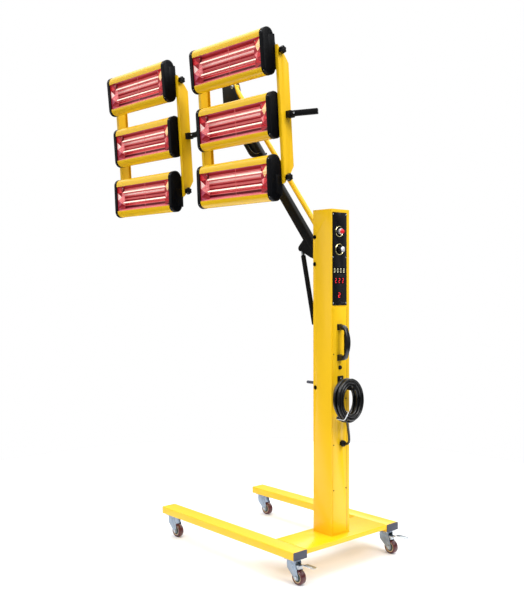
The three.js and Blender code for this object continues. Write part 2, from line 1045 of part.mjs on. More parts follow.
function bowHandle() {
  const foot = plateOuter + gap;
  const out = plateOuter + handle.standoff;
  const low = coverHigh - handle.drop;
  const high = low + handle.height;
  const bow = new THREE.Shape();
  bow.moveTo(foot, low);
  bow.absarc(out - handle.corner, low + handle.corner, handle.corner, -Math.PI / 2, 0);
  bow.absarc(out - handle.corner, high - handle.corner, handle.corner, 0, Math.PI / 2);
  bow.lineTo(foot, high);
  bow.lineTo(foot, high - handle.footHeight);
  const inX = out - handle.thickness - handle.innerCorner;
  const inLow = low + handle.footHeight + handle.innerCorner;
  const inHigh = high - handle.footHeight - handle.innerCorner;
  bow.absarc(inX, inHigh, handle.innerCorner, Math.PI / 2, 0, true);
  bow.absarc(inX, inLow, handle.innerCorner, 0, -Math.PI / 2, true);
  bow.lineTo(foot, low + handle.footHeight);
  const flat = new THREE.ExtrudeGeometry(bow, {
    depth: handle.width - 2 * handle.round,
    bevelThickness: handle.round,
    bevelSize: handle.round,
    bevelOffset: -handle.round,
    bevelSegments: 1,
    curveSegments: 4,
  });
  return flat.applyMatrix4(planeXZ).translate(0, handle.y + handle.width / 2 - handle.round, 0);
}

addNode(lampStand, 'bow_handle', bowHandle(), materials.plastic);

// Cord hook: a plate on the cover with an arm that ends in an upturned tip

function cordHook() {
  const foot = plateOuter + gap;
  const end = foot + hook.reach;
  const wide = hook.plateWidth / 2;
  const half = hook.armWidth / 2;
  const armLow = hookTop - hook.armHeight;
  const plateLow = coverHigh - hook.plateDrop;
  const back = prismYZ(
    roundedRectangle(-wide, wide, plateLow, plateLow + hook.plateHeight, hook.plateThickness),
    foot,
    foot + hook.plateThickness,
    3,
  );
  const side = new THREE.Shape();
  side.moveTo(foot + hook.plateThickness / 2, armLow);
  side.lineTo(end - hook.tipThickness, armLow);
  side.absarc(end - hook.tipThickness, armLow + hook.tipThickness, hook.tipThickness, -Math.PI / 2, 0);
  side.lineTo(end, hookTop + hook.tipHeight);
  side.lineTo(end - hook.tipThickness, hookTop + hook.tipHeight);
  side.lineTo(end - hook.tipThickness, hookTop);
  side.lineTo(foot + hook.plateThickness / 2, hookTop);
  return geometryOf(join(back, prismXZ(side, -half, half, 3))).translate(0, hook.y, 0);
}

addNode(lampStand, 'cord_hook', cordHook(), materials.plastic);

// Cable gland: nut and dome outside the cover, thread through it and a lock nut inside

function cableGland() {
  const foot = plateOuter + gap;
  const nutEnd = foot + gland.nutLength;
  const nose = plateOuter + gland.reach;
  const lock = plateInner - gap;
  const dome = turnedX([
    [0, lock - gland.lockLength],
    [gland.threadRadius, lock - gland.lockLength],
    [gland.threadRadius, nutEnd - gap],
    [gland.domeRadius, nutEnd - gap],
    [gland.domeRadius, (nutEnd + nose) / 2],
    [gland.noseRadius, nose],
    [0, nose],
  ], 20);
  const nut = barX(gland.nutRadius, foot, nutEnd, 6);
  const lockNut = barX(gland.lockRadius, lock - gland.lockLength, lock, 6);
  return geometryOf(join(dome, nut, lockNut)).translate(0, gland.y, glandZ);
}

addNode(lampStand, 'cable_gland', cableGland(), materials.plastic);

// Mains lead: a free stretch from the gland, and the coil on the hook

function tubeAlong(curve, steps, radius, sides) {
  const corners = [];
  for (let i = 0; i < sides; i += 1) {
    const turn = (i / sides) * Math.PI * 2;
    corners.push([radius * Math.cos(turn), radius * Math.sin(turn)]);
  }
  return new THREE.ExtrudeGeometry(outline(corners), { steps, extrudePath: curve, bevelEnabled: false });
}

// The coil's centre line: it spirals in and out at a steady rate, and climbs a layer where it reverses
function coilPoint(turn) {
  const phase = turn % (2 * cord.turnsPerLayer);
  const inward = Math.min(phase, 2 * cord.turnsPerLayer - phase) * cord.radialPitch;
  let layer = 0;
  for (let reversal = 1; reversal < cord.layers; reversal += 1) {
    const share = (turn - reversal * cord.turnsPerLayer) / cord.climbTurns + 0.5;
    layer += THREE.MathUtils.smoothstep(share, 0, 1);
  }
  const angle = radians(cord.startDegrees) - turn * Math.PI * 2;
  return new THREE.Vector3(
    cord.centreX + ((cord.layers - 1) / 2 - layer) * cord.layerPitch,
    cord.centreY + (cord.halfWidth - inward) * Math.cos(angle),
    coilZ + (cord.halfHeight - inward) * Math.sin(angle),
  );
}

// The coil with a straight run of one cord diameter at each end
class Winding extends THREE.Curve {
  constructor(turns) {
    super();
    this.turns = turns;
    this.arcLengthDivisions = turns * cord.stepsPerTurn * 10;
  }

  getPoint(share, target = new THREE.Vector3()) {
    const run = 2 * cord.radius;
    const wound = cord.coilLengthGuess;
    const along = share * (wound + 2 * run) - run;
    const turn = THREE.MathUtils.clamp(along / wound, 0, 1) * this.turns;
    const over = along - THREE.MathUtils.clamp(along, 0, wound);
    target.copy(coilPoint(turn));
    if (over === 0) return target;
    const step = Math.sign(over) * cord.endStep;
    const beyond = coilPoint(turn).sub(coilPoint(turn - step)).normalize();
    return target.addScaledVector(beyond, Math.abs(over));
  }
}

// The least gap between stretches of the coil that lie over half a turn apart along it
function leastSelfGap(points) {
  let least = Infinity;
  const far = cord.stepsPerTurn / 2;
  for (let i = 0; i < points.length; i += 1) {
    for (let j = i + far; j + 1 < points.length; j += 1) {
      const line = new THREE.Line3(points[j], points[j + 1]);
      const near = line.closestPointToPoint(points[i], true, new THREE.Vector3());
      least = Math.min(least, near.distanceTo(points[i]) - 2 * cord.radius);
    }
  }
  return least;
}

const winding = new Winding(cord.layers * cord.turnsPerLayer);
const windingSteps = winding.turns * cord.stepsPerTurn;
const coilGap = leastSelfGap(winding.getSpacedPoints(windingSteps));
console.log(`least gap of the coil to itself: ${coilGap.toFixed(2)} mm`);
const coilSolid = tubeAlong(winding, windingSteps, cord.radius, cord.sides);
addNode(lampStand, 'cord_coil', coilSolid, materials.cable);

const leadPoints = leadRoute.map(([x, y, rise]) => new THREE.Vector3(x, y, glandZ + rise));
const leadCurve = new THREE.CatmullRomCurve3(leadPoints);
const leadSolid = tubeAlong(leadCurve, cord.leadSteps, cord.radius, cord.leadSides);
addNode(lampStand, 'cord_lead', leadSolid, materials.cable);

function coilTie() {
  const bundleRadial = cord.turnsPerLayer * cord.radialPitch;
  const halfRadial = bundleRadial / 2 + cord.radius + tie.clearance;
  const halfAcross = ((cord.layers - 1) / 2) * cord.layerPitch + cord.radius + tie.clearance;
  const outer = roundedRectangle(
    -halfAcross - tie.thickness,
    halfAcross + tie.thickness,
    -halfRadial - tie.thickness,
    halfRadial + tie.thickness,
    cord.radius,
  );
  const corner = cord.radius - tie.thickness;
  outer.holes.push(roundedRectangle(-halfAcross, halfAcross, -halfRadial, halfRadial, corner));
  const band = prism(outer, tie.width, 2).translate(0, 0, -tie.width / 2);
  const angle = radians(tie.degrees);
  const y = (cord.halfWidth - bundleRadial / 2) * Math.cos(angle);
  const z = (cord.halfHeight - bundleRadial / 2) * Math.sin(angle);
  const radial = new THREE.Vector3(0, y * cord.halfHeight, z * cord.halfWidth).normalize();
  const across = new THREE.Vector3(1, 0, 0);
  const along = new THREE.Vector3().crossVectors(across, radial);
  band.applyMatrix4(new THREE.Matrix4().makeBasis(across, radial, along));
  return band.translate(cord.centreX, cord.centreY + y, coilZ + z);
}

addNode(lampStand, 'cord_tie', coilTie(), materials.tie);

// Pivot bolts with spacer sleeves, bolt stubs at the gas spring's foot, and the peg on the front lip

function throughBolt(x, z) {
  const end = columnHalf + gap + pivots.boltHead;
  const side = columnHalf + gap;
  const sleeveIn = arm.width / 2 + gap;
  const sleeveOut = column.slotHalf - gap;
  const shaft = barY(pivots.boltRadius, -end, end, 10);
  const heads = [-1, 1].map((sign) => {
    const from = sign < 0 ? -end : side;
    return barY(pivots.boltHeadRadius, from, from + pivots.boltHead, 10);
  });
  const sleeves = [-1, 1].map((sign) => {
    const from = sign < 0 ? -sleeveOut : sleeveIn;
    return barY(pivots.spacerRadius, from, from + sleeveOut - sleeveIn, 10);
  });
  return geometryOf(join(shaft, ...heads, ...sleeves)).translate(x, 0, z);
}

function springStub(sign) {
  const side = columnHalf + gap;
  const profile = [
    [0, pivots.stubEnd],
    [pivots.boltRadius, pivots.stubEnd],
    [pivots.boltRadius, side],
    [pivots.boltHeadRadius, side],
    [pivots.boltHeadRadius, side + pivots.boltHead],
    [0, side + pivots.boltHead],
  ];
  const stub = turned(profile, 16).rotateX(-sign * Math.PI / 2);
  return stub.translate(-pivots.springX, 0, springZ);
}

function stopPeg() {
  const lipInner = columnFront + column.sheet + gap;
  return turnedX([
    [0, columnFront - peg.reach],
    [peg.radius - peg.round, columnFront - peg.reach],
    [peg.radius, columnFront - peg.reach + peg.round],
    [peg.radius, columnFront - gap],
    [peg.radius / 2, columnFront - gap],
    [peg.radius / 2, lipInner],
    [peg.radius, lipInner],
    [peg.radius, lipInner + footBolt.head],
    [0, lipInner + footBolt.head],
  ], 10).translate(0, peg.y, pegZ);
}

addNode(lampStand, 'arm_pivot_bolt', throughBolt(-pivots.armX, armZ), materials.blackBolts);
addNode(lampStand, 'link_pivot_bolt', throughBolt(-pivots.armX, linkZ), materials.blackBolts);
addNode(lampStand, 'spring_bolt_left', springStub(-1), materials.blackBolts);
addNode(lampStand, 'spring_bolt_right', springStub(1), materials.blackBolts);
addNode(lampStand, 'stop_peg', stopPeg(), materials.plug);

// Arm: built along its own X from the lower pivot, with its own +Z towards the underside

const armPlace = addGroup(lampStand, -pivots.armX, 0, armZ);
armPlace.rotation.y = -radians(180 - armDegrees);

function pinHole(u, n, radius, reach) {
  return barY(radius, -reach, reach).translate(u, 0, n);
}

function armTube() {
  const half = arm.depth / 2;
  const wide = arm.width / 2;
  const section = roundedRectangle(-wide, wide, -half, half, arm.corner);
  section.holes.push(roundedRectangle(
    arm.wall - wide,
    wide - arm.wall,
    arm.wall - half,
    half - arm.wall,
    arm.corner - arm.wall,
  ));
  const tube = prismYZ(section, -arm.tail, arm.reach + arm.tail, 1);
  const bushes = [0, arm.reach].map((u) => {
    return barY(pivots.boltRadius + arm.wall + pivots.runningGap, -wide, wide, 10).translate(u, 0, 0);
  });
  const root = half - arm.wall;
  const ear = new THREE.Shape();
  ear.moveTo(spring.pinAlong - spring.earToe, root);
  ear.lineTo(spring.pinAlong - spring.earKnee, spring.earKneeDrop);
  ear.absarc(spring.pinAlong, spring.pinBelow, spring.earRadius, radians(spring.earFromDegrees), 0, true);
  ear.lineTo(spring.pinAlong + spring.earHeel, root);
  const outer = spring.earInner + spring.earSheet;
  const ears = cut(
    prismXZ(ear, -outer, outer, 4),
    block(
      0,
      spring.pinAlong + arm.depth,
      -spring.earInner,
      spring.earInner,
      0,
      spring.pinBelow + arm.depth,
    ),
  );
  const pinEnd = outer + spring.pinHead;
  const pin = barY(spring.pinRadius, -pinEnd, pinEnd, 8).translate(spring.pinAlong, 0, spring.pinBelow);
  const rims = [-1, 1].map((sign) => {
    const from = sign < 0 ? -pinEnd : outer - gap;
    const rim = barY(spring.pinHeadRadius, from, from + spring.pinHead + gap, 8);
    return rim.translate(spring.pinAlong, 0, spring.pinBelow);
  });
  const bores = [0, arm.reach].map((u) => {
    return pinHole(u, 0, pivots.boltRadius + pivots.runningGap, wide + overrun);
  });
  return cut(join(tube, ...bushes, ears, pin, ...rims), ...bores);
}

addNode(armPlace, 'arm_tube', armTube(), materials.black);

function armShroud() {
  const half = arm.width / 2 + gap + shroud.wall;
  const inner = arm.width / 2 + gap;
  const crown = shroud.sideTop + arm.depth / 2;
  const start = arm.reach - shroud.startFromEye;
  const end = arm.reach - shroud.endFromEye;
  const side = (inset) => {
    const points = [[end + (inset ? overrun : 0), shroud.sideTop - (inset ? overrun : 0)]];
    points.push([start + inset, shroud.sideTop - (inset ? overrun : 0)]);
    for (let i = 0; i <= shroud.roundSteps; i += 1) {
      const turn = (i / shroud.roundSteps) * Math.PI / 2;
      points.push([
        start + shroud.roundLength - (shroud.roundLength - inset) * Math.cos(turn),
        crown - shroud.wall + (shroud.drop - crown + shroud.wall - inset) * Math.sin(turn),
      ]);
    }
    points.push([end + (inset ? overrun : 0), shroud.drop - inset]);
    return outline(points);
  };
  const shell = prismXZ(side(0), -half, half);
  const seat = block(
    start - overrun,
    end + overrun,
    -inner,
    inner,
    -overrun,
    arm.depth / 2 + gap,
  );
  return cut(shell, prismXZ(side(shroud.wall), -inner, inner), seat);
}

addNode(armPlace, 'arm_shroud', armShroud(), materials.black);

// Link rod: parallel to the arm, with an eye at each end

const linkPlace = addGroup(lampStand, -pivots.armX, 0, linkZ);
linkPlace.rotation.y = armPlace.rotation.y;

function linkRodSolid() {
  const wide = arm.width / 2;
  const rod = barX(linkRod.radius, 0, arm.reach);
  const eyes = [0, arm.reach].map((u) => barY(linkRod.eyeRadius, -wide, wide).translate(u, 0, 0));
  const bores = [0, arm.reach].map((u) => {
    return pinHole(u, 0, pivots.boltRadius + pivots.runningGap, wide + overrun);
  });
  return cut(join(rod, ...eyes), ...bores);
}

addNode(linkPlace, 'link_rod', linkRodSolid(), materials.yellow);

// Gas spring: its cylinder hangs from the arm's ears and its rod ends between the bolt stubs in the column

const cosArm = Math.cos(radians(armDegrees));
const sinArm = Math.sin(radians(armDegrees));
const springTop = new THREE.Vector3(
  -pivots.armX - cosArm * spring.pinAlong - sinArm * spring.pinBelow,
  0,
  armZ + sinArm * spring.pinAlong - cosArm * spring.pinBelow,
);
const springFoot = new THREE.Vector3(-pivots.springX, 0, springZ);
const springLength = springTop.distanceTo(springFoot);
const springPlace = addGroup(lampStand, springTop.x, 0, springTop.z);
springPlace.rotation.y = Math.atan2(springTop.z - springFoot.z, springFoot.x - springTop.x);
const bodyEnd = spring.bodyStart + spring.bodyLength;

function springEye() {
  return barY(spring.eyeRadius, -spring.eyeHalfWidth, spring.eyeHalfWidth, 18);
}

function gasCylinder() {
  const radius = spring.bodyRadius;
  const inner = radius - spring.bodyWall;
  const bottom = spring.bodyStart + spring.mouthLength;
  const throat = spring.rodRadius + gap;
  const body = turnedX([
    [0, spring.bodyStart],
    [radius - spring.bodyRound, spring.bodyStart],
    [radius, spring.bodyStart + spring.bodyRound],
    [radius, bodyEnd - spring.bodyRound],
    [radius - spring.bodyRound, bodyEnd],
    [throat, bodyEnd],
    [throat, bodyEnd - spring.mouthLength],
    [inner, bodyEnd - spring.mouthLength],
    [inner, bottom],
    [0, bottom],
  ], 12);
  const neck = barX(spring.neckRadius, 0, spring.bodyStart + gap);
  const bore = pinHole(0, 0, spring.pinRadius + pivots.runningGap, spring.eyeRadius);
  return cut(join(body, neck, springEye()), bore);
}

function gasRod() {
  const inside = bodyEnd - spring.insertion;
  const rod = turnedX([
    [0, inside],
    [spring.pistonRadius, inside],
    [spring.pistonRadius, inside + spring.pistonLength],
    [spring.rodRadius, inside + spring.pistonLength],
    [spring.rodRadius, springLength],
    [0, springLength],
  ], 12);
  const eye = springEye().translate(springLength, 0, 0);
  const bore = pinHole(springLength, 0, pivots.boltRadius + pivots.runningGap, spring.eyeRadius);
  return cut(join(rod, eye), bore);
}

addNode(springPlace, 'gas_cylinder', gasCylinder(), materials.black);
addNode(springPlace, 'gas_rod', gasRod(), materials.zinc);

// Head bracket: a folded channel open towards the arm, its foot carrying the king pin

const bracketX = -pivots.armX - cosArm * arm.reach;
const bracketZ = armZ + sinArm * arm.reach;
const bracketPlace = addGroup(lampStand, bracketX, 0, bracketZ);
const bracketLow = pivots.spacing * bracketOutlineShares[0][1];
const footLow = bracketLow - bracket.footSheet;

function headBracket() {
  const points = bracketOutlineShares.map(([x, z]) => [x * pivots.spacing, z * pivots.spacing]);
  const outer = bracket.inner + bracket.sheet;
  const full = prismXZ(outline(points), -outer, outer);
  const hollowPoints = points.map(([x, z]) => {
    const isFront = x < -pivots.spacing / 2;
    const lift = z > 0 ? overrun : -overrun;
    const slope = (points[1][0] - points[0][0]) / (points[1][1] - points[0][1]);
    return isFront ? [x + bracket.web + slope * lift, z + lift] : [pivots.spacing, z + lift];
  });
  const hollow = outline([...hollowPoints.slice(0, 3), hollowPoints.at(-1)]);
  const channel = cut(full, prismXZ(hollow, -bracket.inner, bracket.inner));
  const side = outer + pivots.boltHead;
  const bolts = [0, pivots.spacing].flatMap((z) => [
    barY(pivots.boltRadius, -side, side, 8).translate(0, 0, z),
    barY(pivots.boltHeadRadius, -side, -outer + gap, 8).translate(0, 0, z),
    barY(pivots.boltHeadRadius, outer - gap, side, 8).translate(0, 0, z),
  ]);
  const footFront = -swivel.ahead - swivel.hubRadius - bracket.footSheet;
  const foot = block(
    footFront,
    footFront + bracket.footLength,
    -bracket.footHalfWidth,
    bracket.footHalfWidth,
    footLow,
    bracketLow + gap,
  );
  const pinLow = -swivel.pinDrop;
  const pin = turned([
    [0, pinLow],
    [swivel.pinHeadRadius, pinLow],
    [swivel.pinHeadRadius, pinLow + swivel.pinHead],
    [swivel.pinRadius, pinLow + swivel.pinHead],
    [swivel.pinRadius, footLow + gap],
    [0, footLow + gap],
  ], 20).translate(-swivel.ahead, 0, 0);
  return join(channel, ...bolts, foot, pin);
}

addNode(bracketPlace, 'head_bracket', headBracket(), materials.black);

// Head frame: local X along the crossbar, local Y to the rear, local Z up

const headTurn = new THREE.Euler(radians(headPitchDegrees), 0, radians(headYawDegrees), 'ZYX');
const swivelX = bracketX - swivel.ahead;
const headX = swivelX + head.behind;
const headZ = bracketZ - head.drop;
const headPlace = addGroup(lampStand, headX, -head.y, headZ);
headPlace.rotation.copy(headTurn);
const headCentreA = -head.bankPitch / 2;

// Where the crossbar's centre lies, seen from the swivel axis, in an upright frame that has the head's yaw
const headRotation = new THREE.Matrix4().makeRotationFromEuler(headTurn);
const barCentre = new THREE.Vector3(headCentreA, crossbar.setBack, 0).applyMatrix4(headRotation);
barCentre.add(new THREE.Vector3(headX, -head.y, headZ));

function swivelArm() {
  const low = bracketZ - swivel.pinDrop + swivel.pinHead + gap;
  const high = bracketZ + footLow - gap;
  const hub = barZ(swivel.hubRadius, low, high, 16);
  const yaw = radians(headYawDegrees);
  const alongBar = new THREE.Vector3(Math.cos(yaw), Math.sin(yaw), 0);
  const toHub = new THREE.Vector3(swivelX - barCentre.x, -barCentre.y, 0);
  const shift = toHub.dot(alongBar);
  const reach = Math.sqrt(toHub.lengthSq() - shift * shift);
  const ringFrom = swivel.ringAside - swivel.ringLength / 2;
  const ringTo = swivel.ringAside + swivel.ringLength / 2;
  const ring = barX(swivel.ringRadius, ringFrom, ringTo, 14);
  const half = swivel.connectorWidth / 2;
  const halfHeight = swivel.connectorHeight / 2;
  const elbowRear = swivel.elbowFront + swivel.elbowDepth;
  const shank = block(ringFrom, ringTo, 0, elbowRear, -halfHeight, halfHeight);
  const elbow = block(-half, ringTo, swivel.elbowFront, elbowRear, -halfHeight, halfHeight);
  const connector = block(-half, half, swivel.elbowFront, reach, -halfHeight, halfHeight);
  const place = new THREE.Matrix4().makeRotationZ(yaw).setPosition(barCentre);
  const boxed = geometryOf(join(ring, shank, elbow, connector)).applyMatrix4(place);
  const toRear = new THREE.Vector3(-Math.sin(yaw), Math.cos(yaw), 0);
  const hubPlace = barCentre.clone().addScaledVector(toRear, reach);
  const bodyPlaced = join(boxed, hub.translate(hubPlace.x, hubPlace.y, 0));
  const bore = barZ(swivel.pinRadius + bearing, low - overrun, high + overrun, 16).translate(swivelX, 0, 0);
  const journalBore = barX(crossbar.journalRadius + bearing, ringFrom - overrun, ringTo + overrun, 18);
  return cut(bodyPlaced, bore, journalBore.applyMatrix4(place));
}

addNode(lampStand, 'swivel_arm', swivelArm(), materials.black);

// Crossbar: square bar with a round journal in the clamp ring, bent to the rear at its handle end

function crossbarSolid() {
  const half = crossbar.side / 2;
  const leftA = -head.bankPitch - crossbar.leftEnd;
  const endRun = new THREE.Vector2(crossbar.endAlong, crossbar.endBack);
  const bendPoint = new THREE.Vector2(crossbar.bendAlong, crossbar.setBack);
  const along = endRun.sub(bendPoint).normalize();
  const across = new THREE.Vector2(-along.y, along.x).multiplyScalar(half);
  const lean = half * Math.tan(Math.atan2(along.y, along.x) / 2);
  const bar = outline([
    [leftA, crossbar.setBack - half],
    [crossbar.bendAlong + lean, crossbar.setBack - half],
    [crossbar.endAlong - across.x, crossbar.endBack - across.y],
    [crossbar.endAlong + across.x, crossbar.endBack + across.y],
    [crossbar.bendAlong - lean, crossbar.setBack + half],
    [leftA, crossbar.setBack + half],
  ]);
  const journalHalf = swivel.ringLength / 2 + gap;
  const journal = turnedX([
    [0, -journalHalf - crossbar.shoulder],
    [crossbar.shoulderRadius, -journalHalf - crossbar.shoulder],
    [crossbar.shoulderRadius, -journalHalf],
    [crossbar.journalRadius, -journalHalf],
    [crossbar.journalRadius, journalHalf],
    [crossbar.shoulderRadius, journalHalf],
    [crossbar.shoulderRadius, journalHalf + crossbar.shoulder],
    [0, journalHalf + crossbar.shoulder],
  ], 14).translate(headCentreA + swivel.ringAside, crossbar.setBack, 0);
  return join(prismXY(bar, -half, half), journal);
}

addNode(headPlace, 'crossbar', crossbarSolid(), materials.black);

// Yoke bars: folded channels, open towards the cassettes, on the crossbar's square holes

function yokeProfile(inset) {
  const front = yoke.front + inset;
  const rear = yoke.rear - inset;
  const top = yoke.halfHeight - inset;
  const midB = yoke.chamferB - inset;
  const midC = yoke.chamferC - inset;
  const lowC = yoke.chamferLowC - inset;
  const upper = [[rear, lowC], [midB, midC], [front + inset, top], [front, top]];
  const lower = upper.map(([b, c]) => [b, -c]).reverse();
  return outline([...lower, ...upper]);
}

// One bar, drawn for the right hand side: its web outside, at +A
function yokeBar(hasSleeve, pivotSide) {
  const web = yoke.outer;
  const full = prismYZ(yokeProfile(0), web - yoke.flange, web);
  const hollow = prismYZ(yokeProfile(yoke.sheet), web - yoke.flange - overrun, web - yoke.sheet);
  const half = crossbar.side / 2 + gap;
  const square = block(
    web - yoke.flange - overrun,
    web + yoke.sleeveLength + overrun,
    crossbar.setBack - half,
    crossbar.setBack + half,
    -half,
    half,
  );
  const sleeveHalf = yoke.sleeve / 2;
  const sleeve = block(
    web - yoke.sheet / 2,
    web + yoke.sleeveLength,
    crossbar.setBack - sleeveHalf,
    crossbar.setBack + sleeveHalf,
    -sleeveHalf,
    sleeveHalf,
  );
  const screwFront = crossbar.setBack - sleeveHalf;
  const sleeveScrew = barY(yoke.screwRadius, screwFront - yoke.screwHead, screwFront + gap)
    .translate(web + yoke.screwInset, 0, 0);
  const capFace = cassette.span / 2;
  const studs = [-1, 1].map((sign) => {
    const c = sign * head.rowPitch;
    return join(
      barX(knob.studRadius, capFace + gap, web + knob.collar, 8).translate(0, cassette.pivotB, c),
      barX(knob.collarRadius, web - gap, web + knob.collar, 6).translate(0, cassette.pivotB, c),
    );
  });
  const holes = [-1, 1].map((sign) => {
    const hole = barX(knob.studRadius + bearing, web - yoke.flange, web + overrun, 8);
    return hole.translate(0, cassette.pivotB, sign * head.rowPitch);
  });
  const middle = barX(cassette.bossRadius, capFace + gap, web - yoke.sheet / 2)
    .translate(0, cassette.pivotB, 0);
  const tips = [-1, 1].map((sign) => block(
    web - yoke.flange - overrun,
    web - yoke.sheet,
    yoke.front + yoke.sheet,
    yoke.rear + overrun,
    sign > 0 ? yoke.chamferC : -yoke.halfHeight - overrun,
    sign > 0 ? yoke.halfHeight + overrun : -yoke.chamferC,
  ));
  const channel = join(cut(full, hollow, ...tips), middle);
  if (!pivotSide) {
    return cut(hasSleeve ? join(channel, sleeve, sleeveScrew) : channel, square, ...holes);
  }
  return join(cut(channel, square), ...studs);
}

function mirroredA(item) {
  return geometryOf(item).scale(-1, 1, 1);
}

// Cassettes, drawn about their own centre: a shell, and a lamp unit of two end caps and an insert

function stadium(halfDepth, halfHeight) {
  const shape = new THREE.Shape();
  shape.absarc(0, halfHeight - halfDepth, halfDepth, 0, Math.PI);
  shape.absarc(0, halfDepth - halfHeight, halfDepth, Math.PI, Math.PI * 2);
  return shape;
}

const shellHalf = cassette.span / 2 - cassette.capLength - gap;

function cassetteShell() {
  const halfDepth = cassette.depth / 2;
  const halfHeight = cassette.height / 2;
  const section = stadium(halfDepth, halfHeight);
  section.holes.push(stadium(halfDepth - cassette.sheet, halfHeight - cassette.sheet));
  const window = block(
    -cassette.windowHalfA,
    cassette.windowHalfA,
    -halfDepth - overrun,
    0,
    -cassette.windowLow,
    cassette.windowHigh,
  );
  return cut(prismYZ(section, -shellHalf, shellHalf, 4), window);
}

// One cap, drawn for the right hand end; ear is 1 for an ear at the upper rear, -1 lower rear, 0 for none
function endCap(ear) {
  const halfDepth = cassette.depth / 2 + cassette.capProud;
  const halfHeight = cassette.height / 2 + cassette.capProud;
  const outerA = cassette.span / 2;
  const innerA = outerA - cassette.capLength;
  const body = prismYZ(stadium(halfDepth, halfHeight), innerA, outerA - cassette.capRim, 3);
  const rim = prismYZ(
    stadium(halfDepth - cassette.capRim, halfHeight - cassette.capRim),
    outerA - cassette.capRim,
    outerA,
    3,
  );
  const rear = block(
    innerA + cassette.capRim,
    outerA - cassette.capRim,
    0,
    halfDepth + cassette.capStep,
    -cassette.capStepHalf,
    cassette.capStepHalf,
  );
  const cap = join(body, rim, rear);
  if (ear === 0) {
    return cap;
  }
  const pivot = cassette.pivotB + cassette.setForward;
  const face = outerA;
  const earShape = outline([
    [0, -ear * cassette.earRadius],
    [pivot, -ear * cassette.earRadius],
    [pivot + cassette.earRadius, 0],
    [pivot, ear * cassette.earRadius],
    [halfDepth - cassette.capRim, ear * cassette.earTop],
    [0, ear * cassette.earTop],
  ]);
  const earPlate = prismYZ(earShape, face - cassette.earSheet, face);
  const bossEnd = yoke.outer - yoke.sheet - gap;
  const boss = barX(cassette.bossRadius, face - cassette.earSheet, bossEnd, 8).translate(0, pivot, 0);
  const bore = barX(knob.studRadius + bearing, outerA, yoke.outer, 8).translate(0, pivot, 0);
  return cut(join(cap, earPlate, boss), bore);
}

function lampInsert() {
  const length = cassette.span / 2 - cassette.capLength + gap;
  const sheet = lamp.reflectorSheet;
  const trough = outline([
    [lamp.mouthB, -lamp.mouthHalf],
    [lamp.floorB, -lamp.floorHalf],
    [lamp.floorB, lamp.floorHalf],
    [lamp.mouthB, lamp.mouthHalf],
    [lamp.mouthB, lamp.mouthHalf + sheet],
    [lamp.floorB + sheet, lamp.floorHalf + sheet],
    [lamp.floorB + sheet, -lamp.floorHalf - sheet],
    [lamp.mouthB, -lamp.mouthHalf - sheet],
  ]);
  const plan = outline([
    [-length, lamp.mouthB],
    [length, lamp.mouthB],
    [length - lamp.endSlope, lamp.floorB + sheet],
    [lamp.endSlope - length, lamp.floorB + sheet],
  ]);
  const height = lamp.mouthHalf + sheet;
  const sheetPart = common(prismYZ(trough, -length, length), prismXY(plan, -height, height));
  const ends = [-1, 1].map((sign) => {
    const slope = outline([
      [sign * length, lamp.mouthB],
      [sign * (length - lamp.endSlope), lamp.floorB + sheet / 2],
      [sign * (length - lamp.endSlope - sheet), lamp.floorB + sheet / 2],
      [sign * (length - sheet), lamp.mouthB],
    ]);
    const plateEnd = prismXY(slope, -lamp.mouthHalf - sheet, lamp.mouthHalf + sheet);
    const filled = outline([
      [lamp.mouthB, -lamp.mouthHalf - sheet / 2],
      [lamp.floorB + sheet / 2, -lamp.floorHalf - sheet / 2],
      [lamp.floorB + sheet / 2, lamp.floorHalf + sheet / 2],
      [lamp.mouthB, lamp.mouthHalf + sheet / 2],
    ]);
    return common(plateEnd, prismYZ(filled, -length, length));
  });
  const tubes = [-1, 1].map((sign) => {
    const tube = barX(lamp.tubeRadius, -lamp.tubeLength / 2, lamp.tubeLength / 2, 8);
    const c = sign * lamp.tubeC;
    const holders = [-1, 1].map((end) => {
      const from = end < 0 ? -lamp.tubeLength / 2 : lamp.tubeLength / 2 - lamp.holderLength;
      const half = lamp.holderSide / 2;
      return block(
        from,
        from + lamp.holderLength,
        lamp.tubeB - half,
        lamp.floorB + sheet / 2,
        c - half,
        c + half,
      );
    });
    return join(tube.translate(0, lamp.tubeB, c), ...holders);
  });
  const inside = cassette.depth / 2 - cassette.sheet - gap;
  const struts = [-1, 1].map((sign) => {
    const a = sign * (length - lamp.strutInset);
    const half = lamp.backStrut / 2;
    return block(a - half, a + half, lamp.floorB + sheet / 2, inside, -lamp.floorHalf, lamp.floorHalf);
  });
  const tabs = [-1, 1].map((sign) => {
    const near = sign * (length - lamp.strutInset);
    const far = sign * length;
    const back = lamp.floorB + sheet / 2;
    return block(
      Math.min(near, far),
      Math.max(near, far),
      back,
      back + lamp.tabSheet,
      -lamp.tabHalf,
      lamp.tabHalf,
    );
  });
  return join(sheetPart, ...ends, ...tubes, ...struts, ...tabs);
}

// Star knob: a lobed head outside the yoke bar and a stud that reaches into the cap's boss
function starKnob() {
  const web = yoke.outer + gap;
  const shape = new THREE.Shape();
  const steps = knob.lobes * 4;
  for (let i = 0; i < steps; i += 1) {
    const turn = (i / steps) * Math.PI * 2;
    const radius = knob.radius - knob.lobeDepth / 2 + (knob.lobeDepth / 2) * Math.cos(turn * knob.lobes);
    const point = [radius * Math.cos(turn), radius * Math.sin(turn)];
    if (i === 0) shape.moveTo(...point);
    else shape.lineTo(...point);
  }
  const grip = prismYZ(shape, web + knob.collar, web + knob.reach);
  const collar = barX(knob.collarRadius, web, web + knob.collar + gap, 10);
  const stud = barX(knob.studRadius, cassette.span / 2 + knob.studEnd, web + knob.collar, 10);
  return join(grip, collar, stud);
}

// Assembly of both banks

